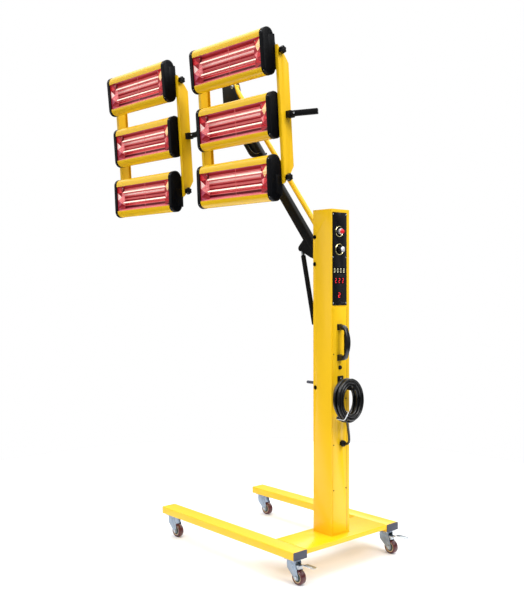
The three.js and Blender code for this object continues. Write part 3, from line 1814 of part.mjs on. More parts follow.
const banks = [['near', 0], ['far', -head.bankPitch]];
const tiltingRows = [['top', 1, cassette.topDegrees], ['bottom', -1, cassette.bottomDegrees]];
const shellSolid = cassetteShell();
const insertSolid = lampInsert();

function lampUnit(ear) {
  const cap = endCap(ear);
  return join(insertSolid, cap, mirroredA(cap));
}

const topUnit = lampUnit(1);
const bottomUnit = lampUnit(-1);
const middleUnit = lampUnit(0);
for (const [bank, a] of banks) {
  const bankPlace = addGroup(headPlace, a, 0, 0);
  addNode(bankPlace, `yoke_bar_${bank}_left`, mirroredA(yokeBar(false, true)), materials.yellow);
  addNode(bankPlace, `yoke_bar_${bank}_right`, yokeBar(true, false), materials.yellow);
  for (const [row, sign, tilt] of tiltingRows) {
    const pivotPlace = addGroup(bankPlace, 0, cassette.pivotB, sign * head.rowPitch);
    pivotPlace.rotation.x = radians(tilt);
    const place = addGroup(pivotPlace, 0, -cassette.pivotB - cassette.setForward, 0);
    addNode(place, `cassette_shell_${bank}_${row}`, shellSolid, materials.yellow);
    addNode(place, `lamp_unit_${bank}_${row}`, sign > 0 ? topUnit : bottomUnit, materials.plastic);
    const knobHome = addGroup(bankPlace, 0, cassette.pivotB, sign * head.rowPitch);
    addNode(knobHome, `star_knob_${bank}_${row}`, starKnob(), materials.plastic);
  }
  addNode(bankPlace, `cassette_shell_${bank}_middle`, shellSolid, materials.yellow);
  addNode(bankPlace, `lamp_unit_${bank}_middle`, middleUnit, materials.plastic);
}

// The finished lamp stands on its wheels with the middle of its footprint box at X = 0 and Y = 0

const loose = ['cord_lead', 'cord_coil', 'cord_tie', 'cable_gland'];
lampStand.updateMatrixWorld(true);
const extent = new THREE.Box3();
lampStand.traverse((item) => {
  if (item.isMesh && !loose.includes(item.name)) extent.expandByObject(item, true);
});
const centre = extent.getCenter(new THREE.Vector3());
const whole = new THREE.Group();
lampStand.position.set(-centre.x, -centre.y, 0);
whole.add(lampStand);
console.log(`shift of the model: ${(-centre.x).toFixed(3)}, ${(-centre.y).toFixed(3)} mm`);

export default whole;
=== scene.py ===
import math

import bmesh
import bpy
from mathutils import Matrix, Vector


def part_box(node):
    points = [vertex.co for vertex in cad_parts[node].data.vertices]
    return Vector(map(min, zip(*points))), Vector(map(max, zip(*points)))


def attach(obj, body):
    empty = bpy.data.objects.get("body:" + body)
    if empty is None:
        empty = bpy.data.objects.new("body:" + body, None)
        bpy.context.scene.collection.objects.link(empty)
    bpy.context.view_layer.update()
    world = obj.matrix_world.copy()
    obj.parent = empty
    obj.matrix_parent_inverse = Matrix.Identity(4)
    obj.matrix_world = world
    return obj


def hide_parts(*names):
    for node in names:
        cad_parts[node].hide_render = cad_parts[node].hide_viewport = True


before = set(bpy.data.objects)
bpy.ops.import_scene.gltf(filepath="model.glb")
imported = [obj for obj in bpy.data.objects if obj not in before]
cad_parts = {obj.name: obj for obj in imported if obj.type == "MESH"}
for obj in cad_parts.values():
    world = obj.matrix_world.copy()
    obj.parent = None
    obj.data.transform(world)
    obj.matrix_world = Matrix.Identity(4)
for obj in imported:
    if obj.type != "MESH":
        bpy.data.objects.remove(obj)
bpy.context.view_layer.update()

# Sizes are in millimetres in the maker's own frame: X is 0 at the rear ends of the legs, Y is 0 on the
# centre line and Z is 0 on the floor. The column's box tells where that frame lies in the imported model.

MM = 0.001
HEAD_YAW, HEAD_PITCH = math.radians(1.98), math.radians(4.1)
COLUMN_FRONT, COLUMN_BACK, COLUMN_HALF = 137.2, -43.2, 47.3
PLATE_FACE = COLUMN_BACK + 1.8
column_low, column_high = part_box("column_body")
SHIFT = Vector((column_low.x + COLUMN_FRONT * MM, (column_low.y + column_high.y) / 2, 0))
TO_MODEL = Matrix.Translation(SHIFT) @ Matrix.Scale(MM, 4)


def metres(x, y, z):
    """A point in the maker's frame as a point of the model."""
    return TO_MODEL @ Vector((x, y, z))


def add_object(name, data):
    """A new object in the scene."""
    added = bpy.data.objects.new(name, data)
    bpy.context.scene.collection.objects.link(added)
    return added


# Camera, fitted to the photograph by its vanishing points

CAMERA_PLACE = (2003.37874, -2179.46426, 1040.0)
CAMERA_YAW, CAMERA_PITCH, CAMERA_ROLL = 2.42113214, -0.0193845105, -0.00231883861
SENSOR_HEIGHT, FAR_CLIP = 36.0, 60
FOCAL_PIXELS, PHOTO_HEIGHT = 811.675528, 599

forward = Vector((
    math.cos(CAMERA_YAW) * math.cos(CAMERA_PITCH),
    math.sin(CAMERA_YAW) * math.cos(CAMERA_PITCH),
    math.sin(CAMERA_PITCH),
))
level_right = forward.cross(Vector((0, 0, 1))).normalized()
level_up = level_right.cross(forward)
right = level_right * math.cos(CAMERA_ROLL) + level_up * math.sin(CAMERA_ROLL)
up = level_up * math.cos(CAMERA_ROLL) - level_right * math.sin(CAMERA_ROLL)
camera_data = bpy.data.cameras.new("photo_camera")
camera_data.sensor_fit = "VERTICAL"
camera_data.sensor_height = SENSOR_HEIGHT
camera_data.lens = SENSOR_HEIGHT * (FOCAL_PIXELS / PHOTO_HEIGHT)
camera_data.clip_end = FAR_CLIP
camera = add_object("photo_camera", camera_data)
turn = Matrix((right, up, -forward)).transposed().to_4x4()
camera.matrix_world = Matrix.Translation(metres(*CAMERA_PLACE)) @ turn
bpy.context.scene.camera = camera

# Materials


def linear(colour):
    """An sRGB hex colour as linear red, green, blue and alpha."""
    shares = [int(colour[i:i + 2], 16) / 255 for i in (0, 2, 4)]
    bent = [s / 12.92 if s <= 0.04045 else ((s + 0.055) / 1.055) ** 2.4 for s in shares]
    return (*bent, 1.0)


def add_node(tree, kind, settings, **inputs):
    """Adds one node. In an input's name an underscore stands for a space, and _6 means the input with
    that number. Its value is a number, a colour or a socket."""
    node = tree.nodes.new(kind)
    for name, value in settings.items():
        setattr(node, name, value)
    for name, value in inputs.items():
        key = int(name[1:]) if name[1:].isdigit() else name.replace("_", " ")
        socket = node.inputs[key]
        if isinstance(value, bpy.types.NodeSocket):
            tree.links.new(value, socket)
        else:
            socket.default_value = value
    return node


def new_material(name):
    """An empty material with its tree and the object's own coordinates, in metres."""
    material = bpy.data.materials.new(name)
    material.use_nodes = True
    tree = material.node_tree
    tree.nodes.clear()
    place = add_node(tree, "ShaderNodeTexCoord", {}).outputs["Object"]
    return material, tree, place


def close(material, tree, **surface):
    """Puts the principled shader and the output on a material."""
    shader = add_node(tree, "ShaderNodeBsdfPrincipled", {}, **surface)
    add_node(tree, "ShaderNodeOutputMaterial", {}, Surface=shader.outputs["BSDF"])
    material.diffuse_color = tuple(shader.inputs["Base Color"].default_value)
    return material


def noise(tree, place, size, detail, **settings):
    """Cloudy noise from 0 to 1. size is its scale in metres."""
    return add_node(
        tree, "ShaderNodeTexNoise", {}, Vector=place, Scale=1 / size, Detail=detail, **settings,
    ).outputs["Fac"]


def blend(tree, factor, first, second):
    """A colour between two."""
    return add_node(
        tree, "ShaderNodeMix", {"data_type": "RGBA"}, Factor=factor, _6=linear(first), _7=linear(second),
    ).outputs[2]


def spread(tree, value, low, high, **limits):
    """A value from 0 to 1, spread over the range from low to high."""
    return add_node(
        tree, "ShaderNodeMapRange", {}, Value=value, To_Min=low, To_Max=high, **limits,
    ).outputs["Result"]


def relief(tree, height, strength, distance):
    """The normal of a finely uneven surface."""
    return add_node(
        tree, "ShaderNodeBump", {}, Strength=strength, Distance=distance, Height=height,
    ).outputs["Normal"]


def powder_coat(name, base, deep, roughness, peel_size, cloud_size, cloud_grain, strength, **gloss):
    """Baked polyester powder coat: one even colour with the soft orange peel of melted grains."""
    material, tree, place = new_material(name)
    # The peel of a real coat is about 1.5 mm across and is drawn at 3 or 4 mm, so that it shows
    peel = noise(tree, place, peel_size, 2.0, Roughness=0.4)
    cloud = noise(tree, place, cloud_size, 3.0, Roughness=cloud_grain)
    return close(
        material, tree, Base_Color=blend(tree, cloud, base, deep),
        Roughness=spread(tree, cloud, roughness - 0.05, roughness + 0.06),
        Normal=relief(tree, peel, strength, 0.0004), **gloss,
    )


def plated_steel(name, base, dull, roughness, grain):
    """Bright plated or blackened steel: a metal with fine drawn streaks and a faint cloud of handling."""
    material, tree, place = new_material(name)
    fine, long = 1 / grain, 0.2 / grain
    stretched = add_node(tree, "ShaderNodeMapping", {}, Vector=place, Scale=(fine, fine, long))
    streaks = noise(tree, stretched.outputs["Vector"], 1.0, 3.0)
    cloud = noise(tree, place, 0.03, 2.0)
    return close(
        material, tree, Base_Color=blend(tree, cloud, base, dull), Metallic=1.0,
        Roughness=spread(tree, streaks, roughness - 0.08, roughness + 0.1),
    )


def moulded_plastic(name, base, roughness, grain, strength=0.12, coat=0.0, gloss=0.2):
    """Injection moulded plastic: one colour in depth and the fine spark texture of the mould."""
    material, tree, place = new_material(name)
    spark = noise(tree, place, grain, 3.0, Roughness=0.6)
    return close(
        material, tree, Base_Color=linear(base),
        Roughness=spread(tree, spark, roughness - 0.06, roughness + 0.08), Specular_IOR_Level=gloss,
        Coat_Weight=coat, Coat_Roughness=0.1, Normal=relief(tree, spark, strength, 0.0002),
    )


def painted_mirror_facet(name, base, deep):
    """A facet of pressed mirror aluminium, whose colour and glow paint the tubes' light that it reflects,
    drawn out along the rolling lines.
    """
    material, tree, place = new_material(name)
    levelled = add_node(tree, "ShaderNodeMapping", {}, Vector=place, Rotation=(0, 0, -HEAD_YAW))
    # The rolling lines are about 0.3 mm apart and are drawn at 2 mm, so that they show as streaks
    drawn = add_node(
        tree, "ShaderNodeMapping", {}, Vector=levelled.outputs["Vector"],
        Scale=(1 / 0.3, 1 / 0.002, 1 / 0.002),
    )
    streak = noise(tree, drawn.outputs["Vector"], 1.0, 2.0)
    tone = blend(tree, spread(tree, streak, 0, 1, From_Min=0.35, From_Max=0.65), base, deep)
    return close(
        material, tree, Base_Color=tone, Metallic=0.4, Roughness=0.28, Emission_Color=tone,
        Emission_Strength=0.36,
    )


def clouded(name, size, detail, first, second, **surface):
    """A material whose colour drifts between two, in soft clouds of about the given size in metres."""
    material, tree, place = new_material(name)
    tone = blend(tree, noise(tree, place, size, detail), first, second)
    return close(material, tree, Base_Color=tone, **surface)


def circuit_laminate(name):
    """Glass epoxy laminate under green solder resist, with the weave showing as a fine check."""
    material, tree, place = new_material(name)
    weave = add_node(
        tree, "ShaderNodeTexBrick", {}, Vector=place, Scale=1 / 0.004,
        Color1=linear("1E5C38"), Color2=linear("226A40"), Mortar=linear("184A2E"),
    )
    return close(
        material, tree, Base_Color=weave.outputs["Color"], Roughness=0.35, IOR=1.55, Coat_Weight=0.3,
    )


def lit_segment(name, colour, strength):
    """A lit segment of a display, seen through the film of the panel."""
    material, tree, place = new_material(name)
    return close(
        material, tree, Base_Color=linear(colour),
        Roughness=spread(tree, noise(tree, place, 0.002, 1.0), 0.3, 0.5),
        Emission_Color=linear(colour), Emission_Strength=strength,
    )


def studio_floor(name):
    """Matt white studio paper."""
    material, tree, place = new_material(name)
    fibre = noise(tree, place, 0.8, 2.0)
    return close(material, tree, Base_Color=linear("EAEBEE"), Roughness=spread(tree, fibre, 0.85, 0.95))


YELLOW_COAT = {
    "peel_size": 0.004, "cloud_size": 0.16, "cloud_grain": 0.55, "strength": 0.06,
    "Specular_IOR_Level": 0.35, "Coat_Weight": 0.15, "Coat_Roughness": 0.12,
}
# The stand: a warm even yellow with broad soft highlights
YELLOW = powder_coat("yellow_powder_coat", "F2C210", "EFBC0C", 0.34, **YELLOW_COAT)
# The cassettes: a little lighter and glossier, so that their rolled edges catch the light
SHELL_YELLOW = powder_coat("gloss_yellow_powder_coat", "F4C612", "F1BE0C", 0.24, **YELLOW_COAT)
# Arm, bracket, swivel and crossbar: black with a dull sheen along the edges
BLACK = powder_coat(
    "black_powder_coat", "0B0B0D", "070709", 0.42, peel_size=0.003, cloud_size=0.12, cloud_grain=0.5,
    strength=0.08, Specular_IOR_Level=0.18,
)
# Axles, nuts, sleeves and clips: cool bright metal
ZINC = plated_steel("zinc_plated_steel", "C8CED2", "A9B0B6", 0.3, 0.004)
# The button's barrel and the selector's nose: nearly white metal without a sharp glint
SATIN = plated_steel("satin_aluminium", "FAFAFC", "ECEDF0", 0.55, 0.003)
# A thin brown strip beside the rear cover's edge: a painted shadow line
COVER_EDGE_SHADOW = moulded_plastic("painted_cover_edge_shadow", "7A4C04", 0.6, 0.0015)
# The rings round button and selector: pale yellowish metal with a sharp glint
BRASS = plated_steel("plated_brass_ring", "E4DCA8", "CFC488", 0.18, 0.003)
# Pivot bolts and dark screws: metal that is almost black, with a weak glint
BOLT = plated_steel("blackened_steel", "17181A", "101113", 0.38, 0.002)
# The shroud's upper rim: a thin line of grey metal, a painted highlight
SHROUD_RIM_HIGHLIGHT = plated_steel("painted_shroud_rim_highlight", "8A8E90", "6E7274", 0.35, 0.002)
# The gas spring's rod: the brightest and smoothest metal here
ROD_STEEL = plated_steel("hard_chromed_rod", "C9CDD0", "B9BEC2", 0.16, 0.002)
# Castor treads: deep red with small dark flecks, and slightly clear at the edges
TREAD = clouded(
    "cast_polyurethane", 0.006, 3.0, "3C080D", "5A1018", Roughness=0.3, IOR=1.5, Subsurface_Weight=0.08,
    Coat_Weight=0.4, Coat_Roughness=0.15,
)
# The ring between a wheel's hub and its tread: pale beige
CORE = moulded_plastic("pale_wheel_core", "CDB28C", 0.42, 0.0015)
# The castors' pressed forks and plates: bluish grey metal
FORK_STEEL = plated_steel("blue_zinc_sheet", "A3AFBC", "8390A0", 0.34, 0.004)
# Wheel hubs: dark greenish grey
HUB_PLASTIC = moulded_plastic("polypropylene_hub", "46504A", 0.42, 0.0015)
# Gland, plugs, hook and switch bodies: black with a fine grain
NYLON = moulded_plastic("glass_filled_nylon", "0A0A0C", 0.4, 0.0012)
# The bow handle: black with a clear highlight along its round edges
GRIP_PLASTIC = moulded_plastic(
    "gloss_grip_plastic", "0E0D0F", 0.28, 0.0012, strength=0.08, coat=0.25, gloss=0.4,
)
# Star knobs, the selector and the displays' windows: smooth, glossy black
KNOB_PLASTIC = moulded_plastic("phenolic_knob", "08080A", 0.26, 0.0015, strength=0.06, coat=0.2)
# The cassettes' end caps: a deep black, so that their fins stay dark
CAP_PLASTIC = moulded_plastic("black_end_cap_plastic", "05060A", 0.36, 0.0014, gloss=0.12)
# The legs' end plugs and the peg: bluish grey
GREY_PLASTIC = moulded_plastic("grey_polyethylene", "4B4D58", 0.5, 0.0012)
# The push button's cap: clear bright red
RED_PLASTIC = moulded_plastic("red_polycarbonate", "E0202A", 0.25, 0.001, strength=0.04, coat=0.5)
# The mains lead: black with a highlight along each turn
SHEATH = moulded_plastic("pvc_sheath", "07080A", 0.22, 0.0016, strength=0.05, coat=0.35, gloss=0.3)
# The tie round the coil: off-white
TIE_NYLON = moulded_plastic("natural_nylon", "DDE0E3", 0.4, 0.001)
# The face of the control panel: a flat, glossy near black
FILM = moulded_plastic("gloss_panel_film", "0D0E11", 0.24, 0.003, strength=0.03, coat=0.2)
# The reflectors: one material for each painted reflection, a colour with a glow for the light that a facet
# throws back, and painted shade for the unlit one
PAINTED_REFLECTION = {
    "pale": painted_mirror_facet("mirror_painted_pale_reflection", "FFE8E0", "F2BEB8"),
    "rose": painted_mirror_facet("mirror_painted_rose_reflection", "EE8E8C", "C2525A"),
    "mauve": painted_mirror_facet("mirror_painted_mauve_reflection", "BC5468", "8E3048"),
    "red": painted_mirror_facet("mirror_painted_red_reflection", "DC3438", "A21C28"),
    "deep": painted_mirror_facet("mirror_painted_deep_reflection", "AA2630", "7C101A"),
    "dark": painted_mirror_facet("mirror_painted_shade", "5A080E", "340408"),
    "cream": painted_mirror_facet("mirror_painted_cream_reflection", "FFE6B4", "FFB868"),
}
# The lamp tubes: clear red glass with a sharp highlight
TUBE = clouded(
    "ruby_quartz", 0.03, 2.0, "C8484C", "DE7470", Roughness=0.08, IOR=1.46, Coat_Weight=1.0,
    Coat_Roughness=0.03, Emission_Color=linear("E0403C"), Emission_Strength=0.12,
)
# A cream stripe along the upper front of each tube, with a warm grain and a glow: a painted highlight
TUBE_PAINTED_HIGHLIGHT = clouded(
    "painted_tube_highlight", 0.004, 2.0, "FFF0E2", "FFD9C4", Roughness=0.3, IOR=1.5,
    Emission_Color=linear("FFE4D0"), Emission_Strength=0.55,
)
LAMINATE = circuit_laminate("green_laminate")
# The displays' digits: a pale upper row, and brighter red ones below it
PALE_DIGIT = lit_segment("pale_segment", "DAD8B4", 0.5)
RED_DIGIT = lit_segment("red_segment", "F82A34", 0.85)

# Shapes. Each is drawn in millimetres in a bmesh of its own and then set into the piece's mesh.

# Points nearer to each other than this are one
MERGE = 0.002
# A drawn piece is shaded with an edge from the first of these angles on. In a refined one, faces within
# the second are merged, and edges from the third on are rounded.
SHADED_SHARP, FLAT_WITHIN, SHARP_EDGE = math.radians(32), math.radians(0.6), math.radians(38)


def seat(name, shape, materials, body, slot, stands_for):
    """Makes a finished mesh an object on its body, and hides the CAD nodes that it stands for."""
    data = bpy.data.meshes.new(name)
    shape.to_mesh(data)
    shape.free()
    for material in materials:
        data.materials.append(material)
    piece = add_object(name, data)
    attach(piece, body)
    if stands_for:
        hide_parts(*stands_for)
    return piece


class Piece:
    """One piece: its mesh in the maker's frame, its materials, and the body that carries it."""

    def __init__(self, name, body, slot):
        self.name, self.body, self.slot = name, body, slot
        self.mesh = bmesh.new()
        self.materials = []

    def put(self, shape, material, place=Matrix(), smooth=True):
        """Sets a finished shape into the piece, turned and moved by place."""
        if material not in self.materials:
            self.materials.append(material)
        bmesh.ops.remove_doubles(shape, verts=shape.verts, dist=MERGE)
        bmesh.ops.recalc_face_normals(shape, faces=shape.faces)
        shape.transform(place)
        if place.determinant() < 0:
            bmesh.ops.reverse_faces(shape, faces=shape.faces)
        for face in shape.faces:
            face.material_index = self.materials.index(material)
            face.smooth = smooth
        holder = bpy.data.meshes.new("holder")
        shape.to_mesh(holder)
        shape.free()
        self.mesh.from_mesh(holder)
        bpy.data.meshes.remove(holder)

    def finish(self, *stands_for):
        """Puts the piece in the model in place of the CAD nodes named."""
        self.mesh.transform(TO_MODEL)
        piece = seat(self.name, self.mesh, self.materials, self.body, self.slot, stands_for)
        piece.data.set_sharp_from_angle(angle=SHADED_SHARP)
        return piece


def edge_line(edge):
    """The way along an edge, as long as it is."""
    return edge.verts[0].co - edge.verts[1].co


def block(low, high, rounding=0.0, steps=2, along=None):
    """A box between two corners. rounding rounds its edges, or only those that run along one axis."""
    shape = bmesh.new()
    bmesh.ops.create_cube(shape, size=1.0)
    size = Vector(high) - Vector(low)
    middle = (Vector(high) + Vector(low)) / 2
    bmesh.ops.scale(shape, vec=size, verts=shape.verts)
    bmesh.ops.translate(shape, vec=middle, verts=shape.verts)
    if rounding:
        edges = shape.edges[:]
        if along is not None:
            edges = [e for e in edges if abs(edge_line(e).normalized()[along]) > 0.9]
        round_edges(shape, edges, rounding, steps)
    return shape


def round_edges(shape, edges, rounding, steps=2):
    """Rounds some of a shape's edges."""
    bmesh.ops.bevel(
        shape, geom=edges, offset=rounding, offset_type="OFFSET", segments=steps, profile=0.5,
        affect="EDGES", material=-1, clamp_overlap=True,
    )


def turned(profile, sides=40, rounding=0.0):
    """A solid turned about Z from pairs of radius and height. They start and end on the axis or make a
    closed loop. rounding rounds its sharp rims."""
    shape = bmesh.new()
    points = [shape.verts.new((radius, 0, height)) for radius, height in profile]
    edges = [shape.edges.new(pair) for pair in zip(points, points[1:])]
    bmesh.ops.spin(
        shape, geom=points + edges, cent=(0, 0, 0), axis=(0, 0, 1), dvec=(0, 0, 0),
        angle=math.tau, steps=sides, use_merge=True, use_duplicate=False,
    )
    bmesh.ops.remove_doubles(shape, verts=shape.verts, dist=MERGE)
    bmesh.ops.recalc_face_normals(shape, faces=shape.faces)
    if rounding:
        sharp = math.radians(50)
        rims = [e for e in shape.edges if len(e.link_faces) == 2 and e.calc_face_angle(0) > sharp]
        round_edges(shape, rims, rounding)
    return shape


def bar(radius, low, high, sides=32, rounding=0.0):
    """A round bar along Z."""
    return turned([(0, low), (radius, low), (radius, high), (0, high)], sides, rounding)


def ring(inner, outer, low, high, sides=32, rounding=0.0):
    """A washer or sleeve about Z."""
    return turned(
        [(inner, low), (outer, low), (outer, high), (inner, high), (inner, low)], sides, rounding,
    )


def prism(points, low, high, rounding=0.0, steps=2):
    """A flat outline in X and Y, extruded from one height to another, with its two rims rounded."""
    shape = bmesh.new()
    face = shape.faces.new([shape.verts.new((x, y, low)) for x, y in points])
    grown = bmesh.ops.extrude_face_region(shape, geom=[face])
    raised = [item for item in grown["geom"] if isinstance(item, bmesh.types.BMVert)]
    bmesh.ops.translate(shape, vec=(0, 0, high - low), verts=raised)
    bmesh.ops.recalc_face_normals(shape, faces=shape.faces)
    if rounding:
        rims = [e for e in shape.edges if abs(edge_line(e).z) < 0.001]
        round_edges(shape, rims, rounding, steps)
    return shape


def arc(x, y, radius, start, end, steps):
    """Points on an arc, from one angle in degrees to another."""
    angles = [math.radians(start + (end - start) * i / steps) for i in range(steps + 1)]
    return [(x + radius * math.cos(a), y + radius * math.sin(a)) for a in angles]


def rounded_loop(half_x, half_y, corner):
    """A rectangle with round corners, as points."""
    x, y = half_x - corner, half_y - corner
    return (
        arc(x, -y, corner, -90, 0, 5) + arc(x, y, corner, 0, 90, 5)
        + arc(-x, y, corner, 90, 180, 5) + arc(-x, -y, corner, 180, 270, 5)
    )


def hexagon(to_corner, low, high, rounding=0.6):
    """A hexagonal head or nut about Z. to_corner is the distance from its axis to a corner."""
    return prism(arc(0, 0, to_corner, 0, 300, 5), low, high, rounding)


def wave(shape, count, stretch, beyond, above):
    """Makes count waves round the axis. Each point beyond a radius and above a height is moved out by a
    factor, which stretch works out from the wave's own height of -1 to 1."""
    for vert in shape.verts:
        if math.hypot(vert.co.x, vert.co.y) > beyond and vert.co.z > above:
            factor = stretch(math.cos(math.atan2(vert.co.y, vert.co.x) * count))
            vert.co.x *= factor
            vert.co.y *= factor


def screw_head(radius, height):
    """A pan head with a round driver recess, standing on Z = 0."""
    return turned([
        (0, height * 0.45), (radius * 0.34, height * 0.45), (radius * 0.42, height),
        (radius * 0.7, height * 0.92), (radius * 0.94, height * 0.6), (radius, height * 0.25),
        (radius, -0.4), (0, -0.4),
    ], 20)


MOVE = Matrix.Translation
TURN_X_UP = Matrix.Rotation(math.pi / 2, 4, "Y")
TURN_Y_UP = Matrix.Rotation(-math.pi / 2, 4, "X")
FACE_FRONT = Matrix.Rotation(math.pi / 2, 4, "X")
UPSIDE_DOWN = Matrix.Rotation(math.pi, 4, "X")
# An outline drawn in X and Z and raised along -Y, and one drawn in Y and Z and raised along X
STAND_XZ = Matrix(((1, 0, 0, 0), (0, 0, -1, 0), (0, 1, 0, 0), (0, 0, 0, 1)))
STAND_YZ = Matrix(((0, 0, 1, 0), (1, 0, 0, 0), (0, 1, 0, 0), (0, 0, 0, 1)))


def axis_x(x, y, z):
    """Moves a shape to a point and turns its own Z to X."""
    return MOVE((x, y, z)) @ TURN_X_UP


def axis_y(x, y, z):
    """Moves a shape to a point and turns its own Z to Y."""
    return MOVE((x, y, z)) @ TURN_Y_UP


def mirror_x(sign):
    """Leaves a shape as it is for 1, and mirrors it in X for -1."""
    return Matrix.Scale(sign, 4, (1, 0, 0))


def mirror_z(sign):
    """Leaves a shape as it is for 1, and mirrors it in its own Z for -1."""
    return Matrix.Scale(sign, 4, (0, 0, 1))


def refined(node, body, slot, finish, width=0.7, move=None):
    """A copy of a folded or cut CAD piece with its flat faces merged and its edges rounded. finish is a
    material or chooses one by place, and move may shift points first."""
    shape = bmesh.new()
    shape.from_mesh(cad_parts[node].data)
    bmesh.ops.transform(shape, matrix=TO_MODEL.inverted(), verts=shape.verts)
    bmesh.ops.remove_doubles(shape, verts=shape.verts, dist=0.004)
    if move:
        for vert in shape.verts:
            vert.co = move(vert.co)
    bmesh.ops.dissolve_limit(
        shape, angle_limit=FLAT_WITHIN, verts=shape.verts, edges=shape.edges,
        use_dissolve_boundaries=False,
    )
    materials = []
    for face in shape.faces:
        material = finish(face.calc_center_median()) if callable(finish) else finish
        if material not in materials:
            materials.append(material)
        face.material_index = materials.index(material)
        face.smooth = True
    bmesh.ops.transform(shape, matrix=TO_MODEL, verts=shape.verts)
    piece = seat(node + "_dressed", shape, materials, body, slot, [node])
    edge = piece.modifiers.new("rounded_edges", "BEVEL")
    edge.width = width * MM
    edge.segments = 2
    edge.limit_method = "ANGLE"
    edge.angle_limit = SHARP_EDGE
    edge.harden_normals = True
    edge.use_clamp_overlap = True


# Mains lead: the free stretch out of the gland, then the coil on the hook

CORD_RADIUS = 4.5
# In metres, as is all of the lead's path
LEAD_ROUTE = [
    (-0.0235, 0.003, 0.453), (-0.017, 0.003, 0.4534), (-0.008, 0.0025, 0.4575), (-0.002, 0.0005, 0.467),
    (0.0, -0.003, 0.481), (0.0015, -0.009, 0.498), (0.005, -0.0175, 0.5145), (0.01, -0.0275, 0.530),
    (0.0142, -0.0363, 0.542), (0.01555, -0.0418, 0.5469),
]
COIL_TURNS, TURNS_PER_LAYER, COIL_LAYERS, CLIMB_TURNS = 10, 2.5, 4, 0.5
RADIAL_PITCH, LAYER_PITCH = 0.0106, 0.0097
COIL_HALF_WIDTH, COIL_HALF_HEIGHT = 0.068, 0.079
COIL_CENTRE = (0.001, -0.010, 0.618)
COIL_START = math.radians(235)
POINTS_PER_TURN = 20
COIL_TOP, LEAN_KNEE, GLAND_HEIGHT, LEAN = 0.69, 0.545, 0.453, 0.008
# The curve runs a little longer than the straight lines between its points
CURVE_EXCESS = 1.003


def eased(share):
    """From 0 to 1 with a soft start and end."""
    return share * share * (3 - 2 * share)


def coil_point(turn):
    """The coil spirals in and out at a steady rate, and climbs a layer where it reverses."""
    phase = turn % (2 * TURNS_PER_LAYER)
    inward = min(phase, 2 * TURNS_PER_LAYER - phase) * RADIAL_PITCH
    layer = 0.0
    for reversal in range(1, COIL_LAYERS):
        share = min(max((turn - reversal * TURNS_PER_LAYER) / CLIMB_TURNS + 0.5, 0), 1)
        layer += eased(share)
    angle = COIL_START - turn * math.tau
    return Vector((
        COIL_CENTRE[0] + ((COIL_LAYERS - 1) / 2 - layer) * LAYER_PITCH,
        COIL_CENTRE[1] + (COIL_HALF_WIDTH - inward) * math.cos(angle),
        COIL_CENTRE[2] + (COIL_HALF_HEIGHT - inward) * math.sin(angle),
    ))


def leaning(point):
    """The coil hangs from its top and leans out at its foot, and the lead below it follows."""
    drop = min(max((COIL_TOP - point.z) / (COIL_TOP - LEAN_KNEE), 0), 1)
    rise = min(max((point.z - GLAND_HEIGHT) / (LEAN_KNEE - GLAND_HEIGHT), 0), 1)
    return point + Vector((LEAN * drop * eased(rise), 0, 0))


coil_points = [coil_point(step / POINTS_PER_TURN) for step in range(COIL_TURNS * POINTS_PER_TURN + 1)]
tail = (coil_points[-1] - coil_points[-2]).normalized() * 2 * CORD_RADIUS * MM
path = [Vector(point) for point in LEAD_ROUTE] + coil_points + [coil_points[-1] + tail]
cord_points = [leaning(point) + SHIFT for point in path]
cord_curve = bpy.data.curves.new("mains_lead", "CURVE")
cord_curve.dimensions = "3D"
cord_curve.resolution_u = 4
cord_curve.bevel_depth = CORD_RADIUS * MM
cord_curve.bevel_resolution = 4
cord_curve.use_fill_caps = True
spline = cord_curve.splines.new("BEZIER")
spline.bezier_points.add(len(cord_points) - 1)
for point, place in zip(spline.bezier_points, cord_points):
    point.co = place
    point.handle_left_type = point.handle_right_type = "AUTO"
cord_curve.materials.append(SHEATH)
mains_lead = add_object("mains_lead", cord_curve)
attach(mains_lead, "stand")
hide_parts("cord_lead", "cord_coil")

# Gland and tie on the lead

GLAND_Y, GLAND_Z, GLAND_RIBS = 3, 453, 12

gland = Piece("cable_gland_body", "stand", "black_plastic")
gland_place = axis_x(PLATE_FACE, GLAND_Y, GLAND_Z)
gland.put(hexagon(11.5, 0, 8, 0.8), NYLON, axis_x(PLATE_FACE + 0.3, GLAND_Y, GLAND_Z))
gland.put(turned([
    (0, 0), (11.2, 0), (11.4, 2), (11.0, 5), (9.8, 8), (7.8, 10.2), (6.2, 11), (5.3, 11), (5.0, 10.2),
    (0, 10.2),
], 36), NYLON, axis_x(PLATE_FACE + 7.2, GLAND_Y, GLAND_Z))
for rib in range(GLAND_RIBS):
    rib_turn = Matrix.Rotation(rib * math.tau / GLAND_RIBS, 4, "Z")
    gland.put(block((10, -0.7, 7.6), (11.8, 0.7, 11.6), 0.4), NYLON, gland_place @ rib_turn)
gland.put(bar(7.8, -8, 1), NYLON, gland_place)
gland.put(hexagon(12, -7, -2.2), NYLON, gland_place)
gland_piece = gland.finish("cable_gland")

# The tie's middle lies this far inside the coil's outline
TIE_DEPTH = 0.0135
TIE_ANGLE = math.radians(232)
tie_centre = leaning(Vector((
    COIL_CENTRE[0],
    COIL_CENTRE[1] + (COIL_HALF_WIDTH - TIE_DEPTH) * math.cos(TIE_ANGLE),
    COIL_CENTRE[2] + (COIL_HALF_HEIGHT - TIE_DEPTH) * math.sin(TIE_ANGLE),
)))
outward = Vector((0, math.cos(TIE_ANGLE), math.sin(TIE_ANGLE)))
lengthways = Vector((0, -math.sin(TIE_ANGLE), math.cos(TIE_ANGLE)))
tie_turn = Matrix((Vector((1, 0, 0)), outward, lengthways)).transposed().to_4x4()
TIE_PLACE = MOVE(tie_centre / MM) @ tie_turn
TIE_HALF_X, TIE_HALF_OUT, TIE_CORNER, TIE_HALF_WIDTH, TIE_SHEET = 20.5, 19.3, 7, 1.7, 1.1


